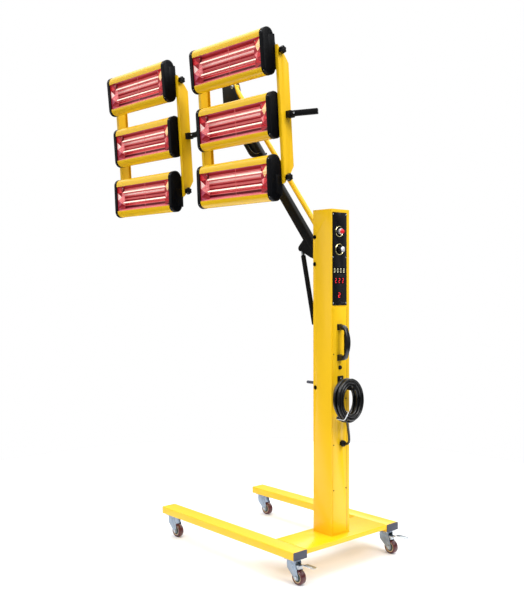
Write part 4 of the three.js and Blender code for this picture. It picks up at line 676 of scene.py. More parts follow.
def band(outer, inner, low, high):
    """A closed band between two loops of as many points."""
    shape = bmesh.new()
    rings = [
        [shape.verts.new((x, y, z)) for x, y in loop]
        for loop, z in ((outer, low), (outer, high), (inner, high), (inner, low))
    ]
    count = len(outer)
    for here, there in zip(rings, rings[1:] + rings[:1]):
        for i in range(count):
            shape.faces.new((here[i], here[(i + 1) % count], there[(i + 1) % count], there[i]))
    bmesh.ops.recalc_face_normals(shape, faces=shape.faces)
    return shape


tie = Piece("cord_tie_band", "stand", "tie_white")
tie.put(band(
    rounded_loop(TIE_HALF_X, TIE_HALF_OUT, TIE_CORNER),
    rounded_loop(TIE_HALF_X - TIE_SHEET, TIE_HALF_OUT - TIE_SHEET, TIE_CORNER - TIE_SHEET),
    -TIE_HALF_WIDTH, TIE_HALF_WIDTH,
), TIE_NYLON, TIE_PLACE)
tie.put(block((TIE_HALF_X - 2, -3.5, -2.4), (TIE_HALF_X + 1.6, 1.5, 2.4), 0.6), TIE_NYLON, TIE_PLACE)
tie_piece = tie.finish("cord_tie")

cord_length = CURVE_EXCESS * sum((b - a).length for a, b in zip(cord_points, cord_points[1:]))
tuple(cord_points[0])

# Legs: square tube, end plugs and the castor plates under them

LEG_REACH, LEG_HALF, LEG_LOW, DECK = 793.2, 32, 88, 117
LEG_Y = 246.3
CASTOR_X = {"rear": -33, "front": -752}
SIDES = {"left": -1, "right": 1}
PLATE_LOW = 85.2
FORK_TOP = PLATE_LOW - 4.3
PEDAL_PIVOT = FORK_TOP - 14.5
LEG_CAP = 3

for side, sign in SIDES.items():
    tube = Piece(f"leg_tube_{side}", "stand", "yellow_paint")
    y_low, y_high = sign * LEG_Y - LEG_HALF, sign * LEG_Y + LEG_HALF
    tube.put(block((-LEG_REACH + LEG_CAP, y_low, LEG_LOW), (-LEG_CAP, y_high, DECK), 3, 4, 0), YELLOW)
    for x_low, x_high, outer in [(-LEG_CAP, 0, 0), (-LEG_REACH, -LEG_REACH + LEG_CAP, -LEG_REACH)]:
        cap = block((x_low, y_low, LEG_LOW), (x_high, y_high, DECK), 3, 4, 0)
        rims = [e for e in cap.edges if all(abs(v.co.x - outer) < 0.01 for v in e.verts)]
        round_edges(cap, rims, 1.2)
        tube.put(cap, GREY_PLASTIC)
    for axis in CASTOR_X.values():
        under = MOVE((axis, sign * LEG_Y, 0))
        tube.put(prism(rounded_loop(28, 28, 10), PLATE_LOW, LEG_LOW, 0.5), FORK_STEEL, under)
        race = turned([
            (0, PLATE_LOW + 0.5), (20, PLATE_LOW + 0.5), (19.4, PLATE_LOW - 1.5), (17.5, PLATE_LOW - 3.4),
            (15.5, PLATE_LOW - 4), (4.7, PLATE_LOW - 4), (4.7, PLATE_LOW - 6.8), (8, PLATE_LOW - 6.9),
            (7.2, PLATE_LOW - 8.4), (5, PLATE_LOW - 9), (0, PLATE_LOW - 9),
        ], 36)
        tube.put(race, FORK_STEEL, under)
        for dx, dy in ((-21, -21), (-21, 21), (21, -21), (21, 21)):
            corner = under @ MOVE((dx, dy, PLATE_LOW)) @ UPSIDE_DOWN
            tube.put(hexagon(4.2, -0.3, 2.6, 0.4), ZINC, corner)
    tube.finish(f"base_leg_{side}")

# Castors: fork, wheel and brake pedal

CHEEK_IN, CHEEK_OUT = 12.7, 14.7
TRAIL, WHEEL_RADIUS = 25, 26

for end, axis in CASTOR_X.items():
    for side, sign in SIDES.items():
        home = MOVE((axis, sign * LEG_Y, 0))
        fork = Piece(f"castor_fork_steel_{end}_{side}", f"fork_{end}_{side}", "zinc_steel")
        cheek = (
            [(-21, FORK_TOP - 1), (-22, FORK_TOP - 14), (-20, FORK_TOP - 29)]
            + arc(TRAIL, WHEEL_RADIUS, 10, 216, 378, 12)
            + [(29, FORK_TOP - 29), (22, FORK_TOP - 16), (21, FORK_TOP - 1)]
        )
        for face in (CHEEK_IN, -CHEEK_OUT):
            fork.put(prism(cheek, face, face + 2, 0.5), FORK_STEEL, home @ STAND_XZ)
        pressed = (
            [(-9, FORK_TOP - 8), (-9, FORK_TOP - 18)]
            + arc(TRAIL - 7, WHEEL_RADIUS + 16, 4, 216, 350, 6)
            + [(8, FORK_TOP - 20), (8, FORK_TOP - 8)]
        )
        for rib in (CHEEK_OUT - 0.2, -CHEEK_OUT - 0.8):
            fork.put(prism(pressed, rib, rib + 1, 0.45), FORK_STEEL, home @ STAND_XZ)
        crown = block((-21, -CHEEK_OUT, FORK_TOP - 2), (21, CHEEK_OUT, FORK_TOP), 0.9)
        fork.put(crown, FORK_STEEL, home)
        fork.put(turned([
            (5.2, FORK_TOP - 2.2), (17.2, FORK_TOP - 2.2), (16.6, FORK_TOP - 3.6), (5.2, FORK_TOP - 3.8),
            (5.2, FORK_TOP - 2.2),
        ], 36), ZINC, home)
        axle = home @ axis_y(TRAIL, 0, WHEEL_RADIUS)
        fork.put(bar(3.7, -CHEEK_OUT - 4, CHEEK_OUT + 4, 24, 0.4), ZINC, axle)
        for low, high in ((CHEEK_OUT, CHEEK_OUT + 3.8), (-CHEEK_OUT - 3.8, -CHEEK_OUT)):
            fork.put(hexagon(7, low, high, 0.7), ZINC, axle)
        fork.put(ring(3.7, 8.6, CHEEK_OUT, CHEEK_OUT + 0.9), ZINC, axle)
        if end == "rear":
            pedal_pin = bar(2.5, -CHEEK_OUT - 0.6, CHEEK_OUT + 0.6, 20, 0.5)
            fork.put(pedal_pin, ZINC, home @ axis_y(8, 0, PEDAL_PIVOT))
        fork.finish(f"castor_fork_{end}_{side}")

        wheel = Piece(f"castor_tread_{end}_{side}", f"wheel_{end}_{side}", "wheel_red")
        wheel.put(turned([
            (19, -11.5), (23.2, -11.5), (25.2, -9.6), (26.0, -6.5), (26.0, 6.5), (25.2, 9.6), (23.2, 11.5),
            (19, 11.5), (18.2, 9), (18.2, -9), (19, -11.5),
        ], 64), TREAD, axle)
        wheel.put(turned([
            (4, -11.5), (8.5, -11.5), (9.2, -10.4), (15.4, -8.6), (16.6, -8.8), (16.6, 8.8), (15.4, 8.6),
            (9.2, 10.4), (8.5, 11.5), (4, 11.5), (4, -11.5),
        ], 48), HUB_PLASTIC, axle)
        wheel.put(turned([
            (15.6, -8.4), (16, -10.2), (17.6, -10.9), (19.3, -10.6), (19.3, 10.6), (17.6, 10.9), (16, 10.2),
            (15.6, 8.4), (15.6, -8.4),
        ], 56), CORE, axle)
        wheel.finish(f"castor_wheel_{end}_{side}")
        if end == "rear":
            refined(f"brake_pedal_{side}", f"pedal_{side}", "zinc_steel", ZINC, 0.5)
            ridges = Piece(f"brake_pedal_tread_{side}", f"pedal_{side}", "zinc_steel")
            for step in range(5):
                x = 66 + step * 7
                ridge = block((x, -8, PEDAL_PIVOT + 10.4), (x + 2, 8, PEDAL_PIVOT + 11.9), 0.7)
                ridges.put(ridge, ZINC, home)
            ridges.finish()

# Cross plate with the column's foot bolts, and the column


def plate_finish(place):
    """Yellow, but dark on the foot bolts' heads above the plate and their nuts below it."""
    nuts = place.z < DECK - 2.6 and abs(place.y) < 45 and -150 < place.x < -30
    return BOLT if place.z > DECK + 0.6 or nuts else YELLOW


refined("base_plate", "stand", "yellow_paint", plate_finish, 0.8)
refined("column_body", "stand", "yellow_paint", YELLOW, 0.8)

COVER_PLUG_Y, COVER_PLUG_Z = -6, 733
refined("rear_cover", "stand", "yellow_paint", YELLOW, 0.5)
cover_low, cover_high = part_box("rear_cover")
# A thin brown strip on the column beside the cover's edge: a painted shadow line
edge_shadow = Piece("cover_edge_shadow_strip", "stand", "black_plastic")
edge_shadow_side = (cover_high.y - SHIFT.y) / MM
edge_shadow.put(block(
    (COLUMN_BACK, edge_shadow_side, cover_low.z / MM + 1),
    (COLUMN_BACK + 0.7, edge_shadow_side + 3, cover_high.z / MM - 1), 0.2,
), COVER_EDGE_SHADOW)
edge_shadow.finish()
cover_plug = Piece("cover_plug_cap", "stand", "black_plastic")
cover_plug.put(turned([
    (0, 7.4), (3.6, 7.2), (5.8, 6.2), (7.2, 4.0), (7.6, 1.6), (7.6, -0.2), (0, -0.2),
], 32), NYLON, axis_x(PLATE_FACE, COVER_PLUG_Y, COVER_PLUG_Z))
cover_plug.finish()


def screw_set(name, radius, height, material, x, across, heights):
    """Screws on the column's back, in one or more upright rows."""
    screws = Piece(name, "stand", "zinc_steel")
    for y in across:
        for z in heights:
            screws.put(screw_head(radius, height), material, axis_x(x, y, z))
    screws.finish()


screw_set("cover_screws", 2.6, 1.6, BOLT, PLATE_FACE, (-38, 27), (782, 616, 450, 284))

# Control panel: film, displays, bezels, button and knob

refined("control_panel", "stand", "panel_black", FILM, 0.4)


def board_finish(place):
    """Green laminate between the black parts on its two faces."""
    return LAMINATE if COLUMN_BACK - 13.5 <= place.x <= COLUMN_BACK - 11 else NYLON


refined("control_board", "stand", "board_green", board_finish, 0.3)
screw_set("panel_screws", 2.4, 1.5, ZINC, PLATE_FACE, (-40, 27.5), (1292, 1136, 969))

# Of each segment: place across, place upwards, and whether it stands upright
SEGMENT_PLACES = {
    "a": (0, 1, 0), "b": (1, 0.5, 1), "c": (1, -0.5, 1), "d": (0, -1, 0), "e": (-1, -0.5, 1),
    "f": (-1, 0.5, 1), "g": (0, 0, 0),
}
DIGITS = {"0": "abcdef", "2": "abged", "8": "abcdefg"}


def draw_digit(piece, digit, y, z, half_width, half_height, material):
    """Seven segments that stand a hair proud of the film."""
    for name in DIGITS[digit]:
        across, rise, upright = SEGMENT_PLACES[name]
        if upright:
            reach, tall = half_width * 0.24, half_height * 0.44
        else:
            reach, tall = half_width * 0.8, half_height * 0.13
        middle_y, middle_z = y + across * half_width, z + rise * half_height
        piece.put(block(
            (PLATE_FACE - 0.1, middle_y - reach, middle_z - tall),
            (PLATE_FACE + 0.25, middle_y + reach, middle_z + tall), 0.1, 1,
        ), material)


DISPLAY_Y, UPPER_Z, MIDDLE_Z, LOWER_Z = -8, 1088, 1051, 998
display = Piece("display_digits", "stand", "panel_black")
for index, digit in enumerate("0008"):
    draw_digit(display, digit, -32.5 + index * 16.2, UPPER_Z, 2.3, 7, PALE_DIGIT)
for index, digit in enumerate("222"):
    draw_digit(display, digit, -26 + index * 18.6, MIDDLE_Z, 2.6, 7.6, RED_DIGIT)
draw_digit(display, "2", DISPLAY_Y, LOWER_Z, 4.6, 8, RED_DIGIT)
display.finish()

window_frames = Piece("display_windows", "stand", "panel_black")
for z, half in ((UPPER_Z, 28), (MIDDLE_Z, 26), (LOWER_Z, 12)):
    low = (PLATE_FACE - 0.2, DISPLAY_Y - half, z - 12)
    window_frames.put(block(low, (PLATE_FACE + 0.08, DISPLAY_Y + half, z + 12), 0.05, 1), KNOB_PLASTIC)
window_frames.finish()

SWITCH_Y, BUTTON_Z, KNOB_Z = -9, 1230, 1165


def bezel_ring(piece, radius, z):
    """A bright ring with a rolled lip, the black collar inside it, and the switch behind the panel."""
    place = axis_x(PLATE_FACE + 0.3, SWITCH_Y, z)
    piece.put(turned([
        (radius - 2.6, 0), (radius, 0), (radius, 1.4), (radius - 0.5, 2.4), (radius - 1.4, 2.9),
        (radius - 2.6, 2.4), (radius - 2.6, 0),
    ], 64), BRASS, place)
    piece.put(turned([
        (12, 0.2), (radius - 2.5, 0.2), (radius - 2.5, 1.8), (radius - 4, 1.2), (12, 1.2), (12, 0.2),
    ], 64), NYLON, place)
    body = axis_x(COLUMN_BACK, SWITCH_Y, z)
    piece.put(bar(11, -2, 1.9, 40), NYLON, body)
    behind = block((-36, SWITCH_Y - 15, z - 15), (-11, SWITCH_Y + 15, z + 15), 1)
    piece.put(behind, NYLON, MOVE((COLUMN_BACK, 0, 0)))


for name, radius, z in (("button_switch", 20, BUTTON_Z), ("knob_switch", 21, KNOB_Z)):
    bezel = Piece(name + "_bezel", "stand", "switch_metal")
    bezel_ring(bezel, radius, z)
    bezel.finish(name)

button = Piece("push_button_cap", "button", "button_red")
button_place = axis_x(PLATE_FACE, SWITCH_Y, BUTTON_Z)
button.put(turned([
    (0, -17.4), (7.2, -17.4), (7.2, 5.6), (10.4, 5.6), (10.9, 6.4), (10.9, 12.6), (10.2, 13.4), (0, 13.4),
], 40), SATIN, button_place)
button.put(turned([
    (0, 13.2), (8.2, 13.2), (8.5, 14.2), (8.4, 17.4), (7.4, 19.6), (5.6, 20.7), (3, 21.2), (0, 21.2),
], 40), RED_PLASTIC, button_place)
button.finish("push_button")

selector = Piece("rotary_knob_body", "selector", "black_plastic")
selector_place = axis_x(PLATE_FACE, SWITCH_Y, KNOB_Z)
grip = turned([
    (0, 4.6), (12, 4.6), (12, 6.4), (11.4, 8), (11, 17.6), (10.2, 19.4), (7.2, 19.6), (0, 19.6),
], 48)
wave(grip, 16, lambda crest: 1 + 0.018 * crest, 9, 7)
selector.put(grip, KNOB_PLASTIC, selector_place)
nose = turned([(0, 19.4), (9.6, 19.4), (9.2, 20.8), (7, 22.2), (3.5, 22.9), (0, 23)], 40)
selector.put(nose, SATIN, selector_place)
selector.put(block((4.5, -0.6, 20.2), (9.0, 0.6, 22.2), 0.2), KNOB_PLASTIC, selector_place)
selector.put(bar(7.2, -17, 4.8, 24), NYLON, selector_place)
selector.finish("rotary_knob")

# Bow handle, hook and peg

HANDLE_Y, HANDLE_LOW, HANDLE_HIGH = -8, 759, 891
foot = PLATE_FACE + 0.3
out = PLATE_FACE + 49
handle = Piece("bow_handle_grip", "stand", "black_plastic")
bow_outline = (
    [(foot, HANDLE_LOW)] + arc(out - 36, HANDLE_LOW + 30, 30, -90, -40, 6)
    + arc(out - 95, HANDLE_LOW + 66, 95, -22, 22, 14) + arc(out - 40, HANDLE_HIGH - 34, 34, 36, 90, 8)
    + [(foot, HANDLE_HIGH), (foot, HANDLE_HIGH - 20)]
    + arc(out - 27, HANDLE_HIGH - 32, 12, 90, 0, 7) + arc(out - 27, HANDLE_LOW + 32, 12, 0, -90, 7)
    + [(foot, HANDLE_LOW + 20)]
)
bow = prism(bow_outline, -10, 10)
bow_rims = [
    e for e in bow.edges if abs(edge_line(e).z) < 0.01 and max(v.co.x for v in e.verts) > foot + 0.1
]
round_edges(bow, bow_rims, 4.2, 4)
handle.put(bow, GRIP_PLASTIC, MOVE((0, HANDLE_Y, 0)) @ STAND_XZ)
for z in (HANDLE_LOW + 10, HANDLE_HIGH - 10):
    flange = block((0, -12.5, -11.5), (4, 12.5, 11.5), 1.4)
    handle.put(flange, GRIP_PLASTIC, MOVE((foot, HANDLE_Y, z)))
handle.finish("bow_handle")

refined("cord_hook", "stand", "black_plastic", NYLON, 0.9)
screw_set("hook_screws", 2.6, 1.6, ZINC, PLATE_FACE + 3.3, (-4,), (692, 648))

PEG_Y, PEG_Z, PEG_REACH = -34.7, 669.8, 44
peg = Piece("rest_peg", "stand", "peg_grey")
peg.put(turned([
    (0, 0), (4, 0), (5.2, 0.7), (5.5, 2), (5.5, 41.6), (6.6, 42), (6.6, 43.6), (0, 43.6),
], 32), GREY_PLASTIC, axis_x(-COLUMN_FRONT - PEG_REACH, PEG_Y, PEG_Z))
peg.put(hexagon(6.2, 2.4, 7), GREY_PLASTIC, axis_x(-COLUMN_FRONT, PEG_Y, PEG_Z))
peg.put(bar(2.6, -1, 3), GREY_PLASTIC, axis_x(-COLUMN_FRONT, PEG_Y, PEG_Z))
peg.finish("stop_peg")

# Pivot bolts: domed heads with washers, and the sleeves that centre the arm in the slot

ARM_PIVOT, LINK_PIVOT = Vector((-129, 0, 1112)), Vector((-129, 0, 1212))
SPRING_FOOT = Vector((-126, 0, 654.5))


def bolt_end(piece, place, start):
    """A washer and a domed head with a hexagon socket, outwards from start."""
    piece.put(ring(3.5, 7.6, start, start + 1), BOLT, place)
    piece.put(turned([
        (0, start + 1.8), (2.2, start + 1.8), (2.4, start + 3.5), (3.8, start + 3.4), (5.4, start + 2.6),
        (6, start + 1.2), (6, start + 0.6), (0, start + 0.6),
    ], 32), BOLT, place)


for node, pivot in (("arm_pivot_bolt", ARM_PIVOT), ("link_pivot_bolt", LINK_PIVOT)):
    bolt = Piece(node + "_steel", "stand", "bolt_black")
    place = axis_y(*pivot)
    bolt.put(bar(4, -COLUMN_HALF - 1.5, COLUMN_HALF + 1.5, 24), BOLT, place)
    for sign in (1, -1):
        half_place = place @ mirror_z(sign)
        bolt_end(bolt, half_place, COLUMN_HALF + 0.3)
        bolt.put(ring(4, 9, 12.8, 21.7, 32, 0.5), ZINC, half_place)
    bolt.finish(node)

for side, sign in SIDES.items():
    stub = Piece(f"spring_foot_bolt_{side}", "stand", "bolt_black")
    place = axis_y(*SPRING_FOOT) @ mirror_z(sign)
    stub.put(bar(4, 8, COLUMN_HALF + 1, 24, 0.5), BOLT, place)
    stub.put(ring(4, 7.5, 18, 45, 28), ZINC, place)
    bolt_end(stub, place, COLUMN_HALF + 0.3)
    stub.finish(f"spring_bolt_{side}")

# Arm: its own frame runs along X from the lower pivot, with +Z towards the underside

ARM_TILT = -math.radians(180 - 51.69)
ARM_REACH = 833
ARM = MOVE(ARM_PIVOT) @ Matrix.Rotation(ARM_TILT, 4, "Y")
LINK = MOVE(LINK_PIVOT) @ Matrix.Rotation(ARM_TILT, 4, "Y")
# The gas spring's pin in the arm's ears, in the arm's frame
SPRING_PIN = (122, 0, 51)

refined("arm_tube", "arm", "black_paint", BLACK, 0.8)

ARM_UNDER = 19.4
SHROUD_START, SHROUD_END, SHROUD_DROP, SHROUD_ROUND, SHROUD_OUT = 582, 770, 37, 38, 18.1
shroud = Piece("arm_shroud_sheet", "arm", "black_paint")
lower_rim = [
    (
        SHROUD_START + SHROUD_ROUND * (1 - math.cos(t)),
        ARM_UNDER + (SHROUD_DROP - ARM_UNDER) * math.sin(t),
    )
    for t in [math.radians(90 * i / 10) for i in range(11)]
]
# The side's upper edge runs along the arm and turns up round it at the lower end
upper_rim = [
    (SHROUD_END, 17), (652, 17), (630, 16.4), (612, 14.5), (598, 10.5), (586, 4), (577, -5), (572, -15),
    (572, -19),
]
flank = (
    upper_rim + [(566, -19), (566, -8), (572, 8), (SHROUD_START - 5, 14)] + lower_rim
    + [(SHROUD_END, SHROUD_DROP)]
)
for face in (SHROUD_OUT - 2.4, -SHROUD_OUT):
    shroud.put(prism(flank, -face - 2.4, -face, 0.5), BLACK, ARM @ STAND_XZ)
inner_rim = [(x + 1.6, z - 2.2) for x, z in lower_rim]
skin = lower_rim + [(SHROUD_END, SHROUD_DROP), (SHROUD_END, SHROUD_DROP - 2.4)] + inner_rim[::-1]
shroud.put(prism(skin, -SHROUD_OUT + 1, SHROUD_OUT - 1), BLACK, ARM @ STAND_XZ)
# A thin grey strip along each side's upper edge: a painted highlight
edge = upper_rim[1:-1] + [(x - 1.3, z + 2.2) for x, z in upper_rim[-2:0:-1]]
for face in (SHROUD_OUT, -SHROUD_OUT - 0.5):
    shroud.put(prism(edge, -face - 0.5, -face), SHROUD_RIM_HIGHLIGHT, ARM @ STAND_XZ)
shroud.finish("arm_shroud")
arm_trim = Piece("arm_trim", "arm", "black_paint")
for low, high in ((-22, -ARM_UNDER), (ARM_REACH + ARM_UNDER, ARM_REACH + 22)):
    arm_trim.put(block((low, -12.3, -18.8), (high, 12.3, 18.8), 0.9), NYLON, ARM)
for sign in (1, -1):
    place = ARM @ axis_y(*SPRING_PIN) @ mirror_z(sign)
    arm_trim.put(turned([
        (0, 10.8), (3.2, 10.8), (5.2, 10.6), (6.1, 9.9), (6.1, 9.2), (0, 9.2),
    ], 32), BOLT, place)
    for along in (596, 752):
        place = ARM @ axis_y(along, 0, 12) @ mirror_z(sign) @ MOVE((0, 0, 15.4))
        arm_trim.put(screw_head(2.8, 1.8), BOLT, place)
arm_trim.finish()

link = Piece("link_rod_steel", "link", "yellow_paint")
link.put(bar(10, 6, ARM_REACH - 6, 40), YELLOW, LINK @ TURN_X_UP)
for along in (0, ARM_REACH):
    link.put(ring(4.5, 12, -12.5, 12.5, 40, 0.8), YELLOW, LINK @ axis_y(along, 0, 0))
link.finish("link_rod")

# Gas spring

spring_top = ARM @ Vector(SPRING_PIN)
spring_span = (spring_top - SPRING_FOOT).length
spring_turn = math.atan2(spring_top.z - SPRING_FOOT.z, SPRING_FOOT.x - spring_top.x)
SPRING = MOVE(spring_top) @ Matrix.Rotation(spring_turn, 4, "Y")
SPRING_LONG = SPRING @ TURN_X_UP

cylinder = Piece("gas_spring_tube", "spring_cylinder", "black_paint")
cylinder.put(turned([
    (0, 27), (6.5, 27), (6.5, 28.4), (8.2, 28.6), (9.2, 30), (9.2, 286), (8.9, 288), (8.9, 290),
    (9.25, 292), (9.2, 296), (8.4, 298), (4.4, 298), (4.4, 289), (0, 289),
], 48), BLACK, SPRING_LONG)
cylinder.put(bar(4.5, 4, 28.6, 24), ZINC, SPRING_LONG)
cylinder.put(ring(4.5, 6.4, 13, 27.5, 6), ZINC, SPRING_LONG)
cylinder.put(ring(4, 8, -5, 5, 36, 0.8), ZINC, SPRING @ axis_y(0, 0, 0))
cylinder.finish("gas_cylinder")

rod = Piece("gas_spring_rod", "spring_rod", "zinc_steel")
rod.put(bar(4, 243, spring_span - 4, 32), ROD_STEEL, SPRING_LONG)
rod.put(ring(4, 6.2, spring_span - 28, spring_span - 6, 6), ZINC, SPRING_LONG)
rod.put(ring(4.3, 8, -5, 5, 36, 0.8), ZINC, SPRING @ axis_y(spring_span, 0, 0))
rod.finish("gas_rod")

# Head bracket: two cheeks and a web folded from one sheet, the foot, the king pin and the pivot screws

bracket_home = ARM @ Vector((ARM_REACH, 0, 0))
BRACKET = MOVE(bracket_home)
BRACKET_OUTLINE = [
    (-55, -26), (-70, 122), (2, 122), (10, 104), (18, 75), (42, 36), (46, 5), (40, -26),
]
SWIVEL_AHEAD, HUB_RADIUS, FOOT_LENGTH = 59.61, 22.5, 67
bracket = Piece("head_bracket_steel", "bracket", "black_paint")
for face in (12.8, -17.0):
    bracket.put(prism(BRACKET_OUTLINE, face, face + 4.2, 0.8), BLACK, BRACKET @ STAND_XZ)
web = prism([(-55, -26), (-70, 122), (-66, 122), (-51, -26)], -16.6, 16.6, 0.6)
bracket.put(web, BLACK, BRACKET @ STAND_XZ)
foot_front = -SWIVEL_AHEAD - HUB_RADIUS - 6
bracket.put(block((foot_front, -20, -32), (foot_front + FOOT_LENGTH, 20, -25.7), 1.2), BLACK, BRACKET)
bracket.put(turned([
    (0, -127.6), (15.6, -127.6), (17, -126.4), (17, -123.4), (16.4, -122.7), (10, -122.7), (10, -31),
    (0, -31),
], 48), BLACK, BRACKET @ MOVE((-SWIVEL_AHEAD, 0, 0)))
for z in (0, LINK_PIVOT.z - ARM_PIVOT.z):
    place = BRACKET @ axis_y(0, 0, z)
    bracket.put(bar(4, -19, 19, 24), ZINC, place)
    for sign in (1, -1):
        side_place = place @ mirror_z(sign)
        bracket.put(turned([
            (0, 19), (2.3, 19), (2.5, 20.5), (4.2, 20.3), (5.8, 19.4), (6.4, 18), (6.4, 16.8), (0, 16.8),
        ], 32), ZINC, side_place)
        bracket.put(ring(4, 9, 16.9, 17.8, 36), ZINC, side_place)
bracket.finish("head_bracket")

# Head frame: local X along the crossbar, Y to the rear, Z up

HEAD_BEHIND, HEAD_Y, HEAD_DROP = 297, 190, 109.63
HEAD = (
    MOVE((bracket_home.x - SWIVEL_AHEAD + HEAD_BEHIND, -HEAD_Y, bracket_home.z - HEAD_DROP))
    @ Matrix.Rotation(HEAD_YAW, 4, "Z")
    @ Matrix.Rotation(HEAD_PITCH, 4, "X")
)
BANK_PITCH, ROW_PITCH, PIVOT_B, SET_FORWARD = 595, 229, 22, 15
BAR_B, BAR_HALF = 46, 10
# The clamp ring round the crossbar, aside from the middle, and half the gap that it sits in
RING_ASIDE, RING_GAP = 35.5, 18.4
RING_A = -BANK_PITCH / 2 + RING_ASIDE

bar_centre = HEAD @ Vector((-BANK_PITCH / 2, BAR_B, 0))
to_rear = Vector((-math.sin(HEAD_YAW), math.cos(HEAD_YAW), 0))
swivel_axis = Vector((bracket_home.x - SWIVEL_AHEAD, 0, 0))
hub_reach = (swivel_axis - bar_centre).dot(to_rear)
hub_centre = bar_centre + to_rear * hub_reach
BAR_PLACE = MOVE(bar_centre) @ Matrix.Rotation(HEAD_YAW, 4, "Z")
hub_low, hub_high = bracket_home.z - 122.3, bracket_home.z - 32.3

swivel = Piece("swivel_hub", "swivel", "black_paint")
swivel.put(turned([
    (10.6, hub_low), (21, hub_low), (HUB_RADIUS, hub_low + 1.5), (HUB_RADIUS, hub_high - 1.5),
    (21, hub_high), (10.6, hub_high), (10.6, hub_low),
], 64), BLACK, MOVE((hub_centre.x, hub_centre.y, 0)))
swivel.put(block((-15, 27, -13), (15, hub_reach - 12, 13), 1.5), BLACK, BAR_PLACE)
swivel.put(block((-15, 26, -13), (RING_ASIDE + 18, 46, 13), 1.5), BLACK, BAR_PLACE)
swivel.put(block((RING_ASIDE - 18, 17, -13), (RING_ASIDE + 18, 45, 13), 1.5), BLACK, BAR_PLACE)
swivel.put(turned([
    (15.5, -18), (20.6, -18), (22, -16.6), (22, 16.6), (20.6, 18), (15.5, 18), (15.5, -18),
], 64), BLACK, BAR_PLACE @ MOVE((RING_ASIDE, 0, 0)) @ TURN_X_UP)
for along in (-10, 10):
    clamp_screw = turned([(0, 0), (3.4, 0), (3.4, 4.4), (2.8, 5), (1.8, 5), (1.7, 3), (0, 3)], 24)
    swivel.put(clamp_screw, BOLT, BAR_PLACE @ MOVE((RING_ASIDE + along, -4, 20.6)))
hub_screw = turned([(0, 0), (3, 0), (3, 3.6), (2.4, 4.2), (0, 4.2)], 24)
swivel.put(hub_screw, BOLT, BAR_PLACE @ MOVE((0, hub_reach - 30, 12.8)))
swivel.finish("swivel_arm")

# Crossbar with its bent handle end, end plugs and the journal's collars

left_end = -BANK_PITCH - 240
bend = Vector((268, BAR_B))
end = Vector((338, 90))
run = (end - bend).normalized()
run_angle = math.atan2(run.y, run.x)
mitre = BAR_HALF * math.tan(run_angle / 2)
across = Vector((-run.y, run.x)) * BAR_HALF
crossbar = Piece("crossbar_tube", "head_frame", "black_paint")


def square_bar(points):
    """A square bar from its outline, with its long edges rounded."""
    shape = prism(points, -BAR_HALF, BAR_HALF)
    lengthwise = [e for e in shape.edges if edge_line(e).length > 21]
    round_edges(shape, lengthwise, 1.8, 3)
    return shape


crossbar.put(square_bar([
    (left_end + 3, BAR_B - BAR_HALF), (RING_A - RING_GAP, BAR_B - BAR_HALF),
    (RING_A - RING_GAP, BAR_B + BAR_HALF), (left_end + 3, BAR_B + BAR_HALF),
]), BLACK, HEAD)
crossbar.put(square_bar([
    (RING_A + RING_GAP, BAR_B - BAR_HALF), (bend.x + mitre, BAR_B - BAR_HALF),
    (end.x - across.x, end.y - across.y), (end.x + across.x, end.y + across.y),
    (bend.x - mitre, BAR_B + BAR_HALF), (RING_A + RING_GAP, BAR_B + BAR_HALF),
]), BLACK, HEAD)
crossbar.put(bar(14.9, -19, 19, 48), ZINC, HEAD @ axis_x(RING_A, BAR_B, 0))
for low, high in ((-24.3, -RING_GAP), (RING_GAP, 24.3)):
    crossbar.put(bar(19, low, high, 48, 1), BLACK, HEAD @ axis_x(RING_A, BAR_B, 0))
end_place = HEAD @ MOVE((end.x, end.y, 0)) @ Matrix.Rotation(run_angle, 4, "Z")
crossbar.put(block((-2, -9.8, -9.8), (2.2, 9.8, 9.8), 1.2), NYLON, end_place)
crossbar.put(block((left_end, BAR_B - 9.8, -9.8), (left_end + 4, BAR_B + 9.8, 9.8), 1.2), NYLON, HEAD)
crossbar.finish("crossbar")

# Yoke bars with their set screws

BANKS = {"near": 0, "far": -BANK_PITCH}
WEB_OUT, SLEEVE_HALF, SLEEVE_END, BOSS_OUT = 233, 13, 22, 12.7
to_head = HEAD.inverted()


def yoke_finish(a):
    """Yellow, but black on the sleeve outside the web."""
    def choose(point):
        """The material at a point."""
        place = to_head @ point
        outside = place.x - a > WEB_OUT + 0.2
        near_bar = abs(place.y - BAR_B) < SLEEVE_HALF + 2 and abs(place.z) < SLEEVE_HALF
        return BLACK if outside and near_bar else YELLOW
    return choose


def shorter_sleeve(a):
    """The sleeve ends a little nearer to the web, and its boss for the set screw lies flat."""
    def move(point):
        """The point's new place."""
        place = to_head @ point
        out = place.x - a - WEB_OUT
        if out > 30 and abs(place.z) < SLEEVE_HALF:
            place.x = a + WEB_OUT + SLEEVE_END
        if out > 5 and place.y < BAR_B - BOSS_OUT and abs(place.z) < SLEEVE_HALF:
            place.y = BAR_B - BOSS_OUT
        return HEAD @ place
    return move


for bank, a in BANKS.items():
    refined(f"yoke_bar_{bank}_left", "head_frame", "yellow_paint", YELLOW)
    refined(
        f"yoke_bar_{bank}_right", "head_frame", "yellow_paint", yoke_finish(a), move=shorter_sleeve(a),
    )
    trim = Piece(f"yoke_screws_{bank}", "head_frame", "bolt_black")
    set_screw = turned([(0, 0), (3.6, 0), (3.6, 1.4), (2.8, 2.4), (1.6, 2.4), (1.4, 1.4), (0, 1.4)], 28)
    trim.put(set_screw, ZINC, HEAD @ axis_y(a + WEB_OUT + 39, BAR_B - BAR_HALF, 0) @ UPSIDE_DOWN)
    trim.finish()

# Cassettes: glossy rolled shell, ribbed end caps, reflector, two ruby tubes and the guard wire

SHELL_HALF = 194.2
HALF_DEPTH, HALF_HEIGHT, SHELL_SHEET = 26.5, 85, 1.4
WINDOW_LOW, WINDOW_HIGH = -57, 52
CAP_OUT = 215.5


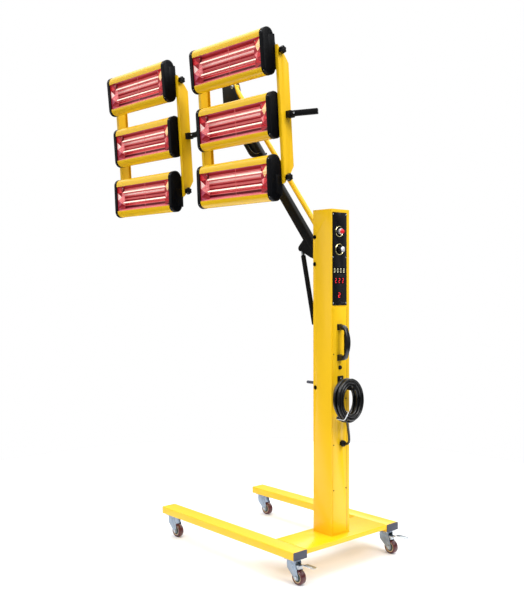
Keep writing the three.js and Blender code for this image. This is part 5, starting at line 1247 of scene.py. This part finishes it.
def stadium(half_depth, half_height, low, high, sides=48):
    """A rolled section in Y and Z, extruded along X, open at both ends."""
    shape = bmesh.new()
    bmesh.ops.create_circle(shape, segments=sides, radius=half_depth, cap_ends=False)
    half_step = Matrix.Rotation(math.pi / sides, 3, "Z")
    bmesh.ops.rotate(shape, verts=shape.verts, cent=(0, 0, 0), matrix=half_step)
    for vert in shape.verts:
        vert.co.y += math.copysign(half_height - half_depth, vert.co.y)
    bmesh.ops.translate(shape, verts=shape.verts, vec=(0, 0, low))
    grown = bmesh.ops.extrude_edge_only(shape, edges=shape.edges[:])
    raised = [item for item in grown["geom"] if isinstance(item, bmesh.types.BMVert)]
    bmesh.ops.translate(shape, verts=raised, vec=(0, 0, high - low))
    shape.transform(STAND_YZ)
    return shape


def cassette_shell(name, body, place, node):
    """The rolled shell with a window cut in its front, whose upper and lower rims turn in a little."""
    shell = Piece(name, body, "yellow_paint")
    skin = stadium(HALF_DEPTH, HALF_HEIGHT, -SHELL_HALF, SHELL_HALF)
    for height in (WINDOW_LOW, WINDOW_HIGH):
        geometry = skin.verts[:] + skin.edges[:] + skin.faces[:]
        bmesh.ops.bisect_plane(
            skin, geom=geometry, plane_co=(0, 0, height), plane_no=(0, 0, 1), dist=0.001,
        )
    middles = [(face, face.calc_center_median()) for face in skin.faces]
    inside = [face for face, middle in middles if middle.y < 0 and WINDOW_LOW < middle.z < WINDOW_HIGH]
    bmesh.ops.delete(skin, geom=inside, context="FACES")
    bmesh.ops.recalc_face_normals(skin, faces=skin.faces)
    middles = [(face, face.calc_center_median()) for face in skin.faces]
    if sum(face.normal.dot(Vector((0, middle.y, middle.z))) for face, middle in middles) < 0:
        bmesh.ops.reverse_faces(skin, faces=skin.faces)
    bmesh.ops.solidify(skin, geom=skin.faces[:], thickness=SHELL_SHEET)
    shell.put(skin, SHELL_YELLOW, place)
    lip = 3.0
    for edge in (WINDOW_HIGH, WINDOW_LOW - 1):
        low = (-SHELL_HALF, -HALF_DEPTH + 0.1, edge)
        shell.put(block(low, (SHELL_HALF, -HALF_DEPTH + lip, edge + 1), 0.4), SHELL_YELLOW, place)
    shell.finish(node)


def cap_outline(radius, steps):
    """The cassette's section drawn with another end radius."""
    straight = HALF_HEIGHT - HALF_DEPTH
    return arc(0, straight, radius, 0, 180, steps) + arc(0, -straight, radius, 180, 360, steps)


def end_cap(unit, place, ear):
    """A moulded cap drawn for the +X end: rounded rim, upright fins on its face, rear step and screws,
    and on an outer cassette the ear that it turns on. ear is 1, 0 for none, or -1 for upside down."""
    inner = CAP_OUT - 21
    body = prism(cap_outline(HALF_DEPTH + 1, 20), inner, CAP_OUT - 2.4)
    front_rim = [e for e in body.edges if min(v.co.z for v in e.verts) > CAP_OUT - 2.5]
    round_edges(body, front_rim, 2.6, 4)
    unit.put(body, CAP_PLASTIC, place @ STAND_YZ)
    plinth = prism(cap_outline(HALF_DEPTH - 3, 16), CAP_OUT - 3, CAP_OUT - 1.6, 0.6)
    unit.put(plinth, CAP_PLASTIC, place @ STAND_YZ)
    for index in range(9):
        y = -20 + index * 5
        reach = HALF_HEIGHT - HALF_DEPTH + math.sqrt(max(23.5 ** 2 - y * y, 0)) - 2
        fin = block((CAP_OUT - 2.6, y - 0.9, -reach), (CAP_OUT, y + 0.9, reach), 0.6)
        unit.put(fin, CAP_PLASTIC, place)
    step = block((inner + 3, 10, -64), (CAP_OUT - 3, 35.5, 64), 2.5, 3)
    unit.put(step, CAP_PLASTIC, place)
    for z in (68, -68):
        head = MOVE((inner + 9, -HALF_DEPTH + 2.2, z)) @ FACE_FRONT
        unit.put(screw_head(2.6, 2.0), ZINC, place @ head @ MOVE((0, 0, -0.5)))
    if ear:
        pivot = PIVOT_B + SET_FORWARD
        shape = [
            (0, -11 * ear), (pivot, -11 * ear), (pivot + 11, 0), (pivot, 11 * ear), (24.5, 58 * ear),
            (0, 58 * ear),
        ]
        rounded = prism(shape if ear > 0 else shape[::-1], CAP_OUT - 4, CAP_OUT, 0.8)
        unit.put(rounded, CAP_PLASTIC, place @ STAND_YZ)
        unit.put(ring(4.5, 7, CAP_OUT - 4, 230.7), CAP_PLASTIC, place @ axis_x(0, pivot, 0))


# The reflector's section: depth and height of each crease, and the painted reflection of the facet below it
CREASES = [
    (-23, 56, "mauve"), (-13, 50, "deep"), (-2, 42, "rose"), (3, 36, "pale"), (7.5, 26, "rose"),
    (8, 20, "pale"), (6.8, 12, "rose"), (5, 6, "deep"), (2, 0, "rose"), (5, -8, "deep"),
    (6.8, -14, "pale"), (8, -24, "red"), (6, -31, "rose"), (3.5, -35, "dark"), (-5, -44.5, "mauve"),
    (-13, -50, "rose"), (-23, -56, ""),
]
# The pressed shields at the reflector's ends: distance from the middle, depth and height of each corner,
# and below it the painted reflection of each facet at the +X end and at the -X end
SHIELD_CORNERS = {
    "A": (150, -14, 53), "B": (193.6, -20, 53), "C": (150, -14, 31), "D": (163, -19, 25),
    "E": (193.6, -20, 24), "F": (171, -16, 4), "G": (150, -14, -4), "H": (193.6, -20, -8),
    "I": (168, -19, -24), "J": (150, -14, -34), "K": (193.6, -20, -40), "L": (150, -14, -56),
    "M": (193.6, -20, -56),
}
SHIELD_FACETS = {
    "ADB": ("red", "deep"), "ACD": ("deep", "dark"), "BDE": ("cream", "red"), "DFE": ("cream", "deep"),
    "CFD": ("rose", "rose"), "CGF": ("deep", "rose"), "EFH": ("deep", "pale"), "FIH": ("red", "rose"),
    "GIF": ("rose", "rose"), "GJI": ("deep", "rose"), "HIK": ("deep", "mauve"), "JKI": ("red", "deep"),
    "JLK": ("deep", "deep"), "LMK": ("dark", "mauve"),
}
TUBE_DEPTH, TUBE_HEIGHT, TUBE_RADIUS, TUBE_HALF = -12, 23, 5.5, 166


def sheet(unit, corners, light, place, thickness=0.8):
    """One flat facet of pressed sheet, in the material that paints its reflection."""
    shape = bmesh.new()
    shape.faces.new([shape.verts.new(corner) for corner in corners])
    bmesh.ops.recalc_face_normals(shape, faces=shape.faces)
    bmesh.ops.solidify(shape, geom=shape.faces[:], thickness=thickness)
    unit.put(shape, PAINTED_REFLECTION[light], place, smooth=False)


def lamp_insert(unit, place):
    """The creased reflector, the shields at its ends, two tubes with a painted highlight stripe, the guard
    wire and the clips.
    """
    def end_at(depth):
        """The reflector's half length, which narrows by 6 mm over its depth of 31 mm."""
        return 193.8 - (depth + 23) / 31 * 6

    for (b0, c0, light), (b1, c1, _) in zip(CREASES, CREASES[1:]):
        e0, e1 = end_at(b0), end_at(b1)
        sheet(unit, [(-e0, b0, c0), (e0, b0, c0), (e1, b1, c1), (-e1, b1, c1)], light, place)
    for sign, end in ((1, 0), (-1, 1)):
        wall = [(sign * end_at(b), b, c) for b, c, _ in CREASES]
        sheet(unit, wall, "deep", place)
        for names, lights in SHIELD_FACETS.items():
            corners = [(sign * SHIELD_CORNERS[n][0], *SHIELD_CORNERS[n][1:]) for n in names]
            sheet(unit, corners, lights[end], place)
        unit.put(screw_head(2.6, 1.6), ZINC, place @ MOVE((sign * 160, -17, 44)) @ FACE_FRONT)
    for c in (TUBE_HEIGHT, -TUBE_HEIGHT):
        tube = place @ axis_x(0, TUBE_DEPTH, c)
        unit.put(turned([
            (0, -TUBE_HALF), (3, -TUBE_HALF), (TUBE_RADIUS, -TUBE_HALF + 6), (TUBE_RADIUS, TUBE_HALF - 6),
            (3, TUBE_HALF), (0, TUBE_HALF),
        ], 24), TUBE, tube)
        # A cream stripe on each tube's upper front, with a glow: a painted highlight
        coat = arc(TUBE_DEPTH, c, TUBE_RADIUS + 0.15, 185, 100, 8)
        coat += arc(TUBE_DEPTH, c, TUBE_RADIUS - 0.3, 100, 185, 8)
        unit.put(prism(coat, -TUBE_HALF + 8, TUBE_HALF - 8), TUBE_PAINTED_HIGHLIGHT, place @ STAND_YZ)
    # The guard wire takes the rose facets' painted reflection and glow
    unit.put(bar(0.7, -54, 54, 12), PAINTED_REFLECTION["rose"], place @ MOVE((14, -18.5, 0)))
    for sign in (1, -1):
        end_place = place @ mirror_x(sign)
        unit.put(block((148, 8.4, -30), (154, 24.8, 30), 0.6), ZINC, end_place)
        unit.put(block((150.8, 8.5, -10), (194.8, 11.5, 10), 0.5), ZINC, end_place)


# Level, tilt in degrees, and side of the ear
ROWS = {"top": (1, 1.4, 1), "middle": (0, 0, 0), "bottom": (-1, -1.6, -1)}
for bank, a in BANKS.items():
    for row, (level, tilt, ear) in ROWS.items():
        body = "head_frame" if row == "middle" else f"cassette_{bank}_{row}"
        if row == "middle":
            place = HEAD @ MOVE((a, 0, 0))
        else:
            place = (
                HEAD @ MOVE((a, PIVOT_B, level * ROW_PITCH)) @ Matrix.Rotation(math.radians(tilt), 4, "X")
                @ MOVE((0, -PIVOT_B - SET_FORWARD, 0))
            )
        cassette_shell(f"cassette_skin_{bank}_{row}", body, place, f"cassette_shell_{bank}_{row}")
        unit = Piece(f"cassette_works_{bank}_{row}", body, "cap_black")
        lamp_insert(unit, place)
        end_cap(unit, place, ear)
        end_cap(unit, place @ mirror_x(-1), ear)
        unit.finish(f"lamp_unit_{bank}_{row}")

# Star knobs

for bank, a in BANKS.items():
    for row in ("top", "bottom"):
        knob = Piece(f"star_knob_grip_{bank}_{row}", f"knob_{bank}_{row}", "black_plastic")
        place = HEAD @ axis_x(a + 233.3, PIVOT_B, ROWS[row][0] * ROW_PITCH)
        star = turned([
            (0, 4), (9, 4), (12.8, 4.6), (14.4, 6), (15, 8), (15, 16), (14.2, 18.6), (12, 20), (0, 20),
        ], 72)
        wave(star, 6, lambda crest: 1 - 0.085 * (1 - crest), 8.5, 0)
        knob.put(star, KNOB_PLASTIC, place)
        knob.put(bar(5.6, 19.4, 20.3, 32, 0.3), KNOB_PLASTIC, place)
        knob.put(turned([(0, 0), (8, 0), (8, 4.4), (0, 4.4)], 36), KNOB_PLASTIC, place)
        knob.put(bar(4, -15.8, 4, 24), ZINC, place)
        knob.finish(f"star_knob_{bank}_{row}")

# Floor, light and surroundings

FLOOR_RADIUS = 2.0
floor_mesh = bmesh.new()
bmesh.ops.create_circle(floor_mesh, segments=96, radius=FLOOR_RADIUS, cap_ends=True)
floor_data = bpy.data.meshes.new("studio_floor")
floor_mesh.to_mesh(floor_data)
floor_mesh.free()
floor_data.materials.append(studio_floor("white_studio_paper"))
add_object("studio_floor", floor_data)

LIGHTS = [
    # name, place and aim in metres, size in metres, watts
    ("key_light", (0.6, -3.4, 4.7), (-0.4, 0, 1.8), 1.8, 62),
    ("side_light", (5.2, 0.6, 4.6), (-0.5, 0, 1.9), 2.4, 215),
    ("fill_light", (-3.0, -2.6, 2.6), (-0.4, 0, 1.6), 2.4, 14),
    ("back_light", (-2.2, 3.8, 3.0), (0, 0, 1.0), 2.4, 40),
]
for name, place, aim, size, watts in LIGHTS:
    data = bpy.data.lights.new(name, "AREA")
    data.shape = "SQUARE"
    data.size = size
    data.energy = watts
    source = add_object(name, data)
    source.location = place
    source.rotation_euler = (Vector(aim) - Vector(place)).to_track_quat("-Z", "Y").to_euler()
ceiling = bpy.data.lights.new("ceiling_light", "SUN")
ceiling.energy = 3.0
ceiling.angle = math.radians(115)
add_object("ceiling_light", ceiling).location = (0, 0, 5)

# The surroundings show white, and light the lamp more from above than from the sides
world = bpy.data.worlds.new("studio_air")
world.use_nodes = True
sky = world.node_tree
sky.nodes.clear()
direction = add_node(sky, "ShaderNodeTexCoord", {}).outputs["Generated"]
rise = add_node(sky, "ShaderNodeSeparateXYZ", {}, Vector=direction).outputs["Z"]
shade = add_node(
    sky, "ShaderNodeMapRange", {}, Value=rise, From_Min=-0.25, From_Max=0.9, To_Min=0.12, To_Max=0.6,
).outputs["Result"]
seen = add_node(sky, "ShaderNodeLightPath", {}).outputs["Is Camera Ray"]
level = add_node(sky, "ShaderNodeMix", {"data_type": "FLOAT"}, _0=seen, _2=shade, _3=1.0).outputs[0]
air = add_node(sky, "ShaderNodeBackground", {}, Color=linear("FFFFFF"), Strength=level)
add_node(sky, "ShaderNodeOutputWorld", {}, Surface=air.outputs["Background"])
bpy.context.scene.world = world
bpy.context.scene.view_settings.view_transform = "Standard"

# The scene's objects are brought up to date

bpy.context.view_layer.update()
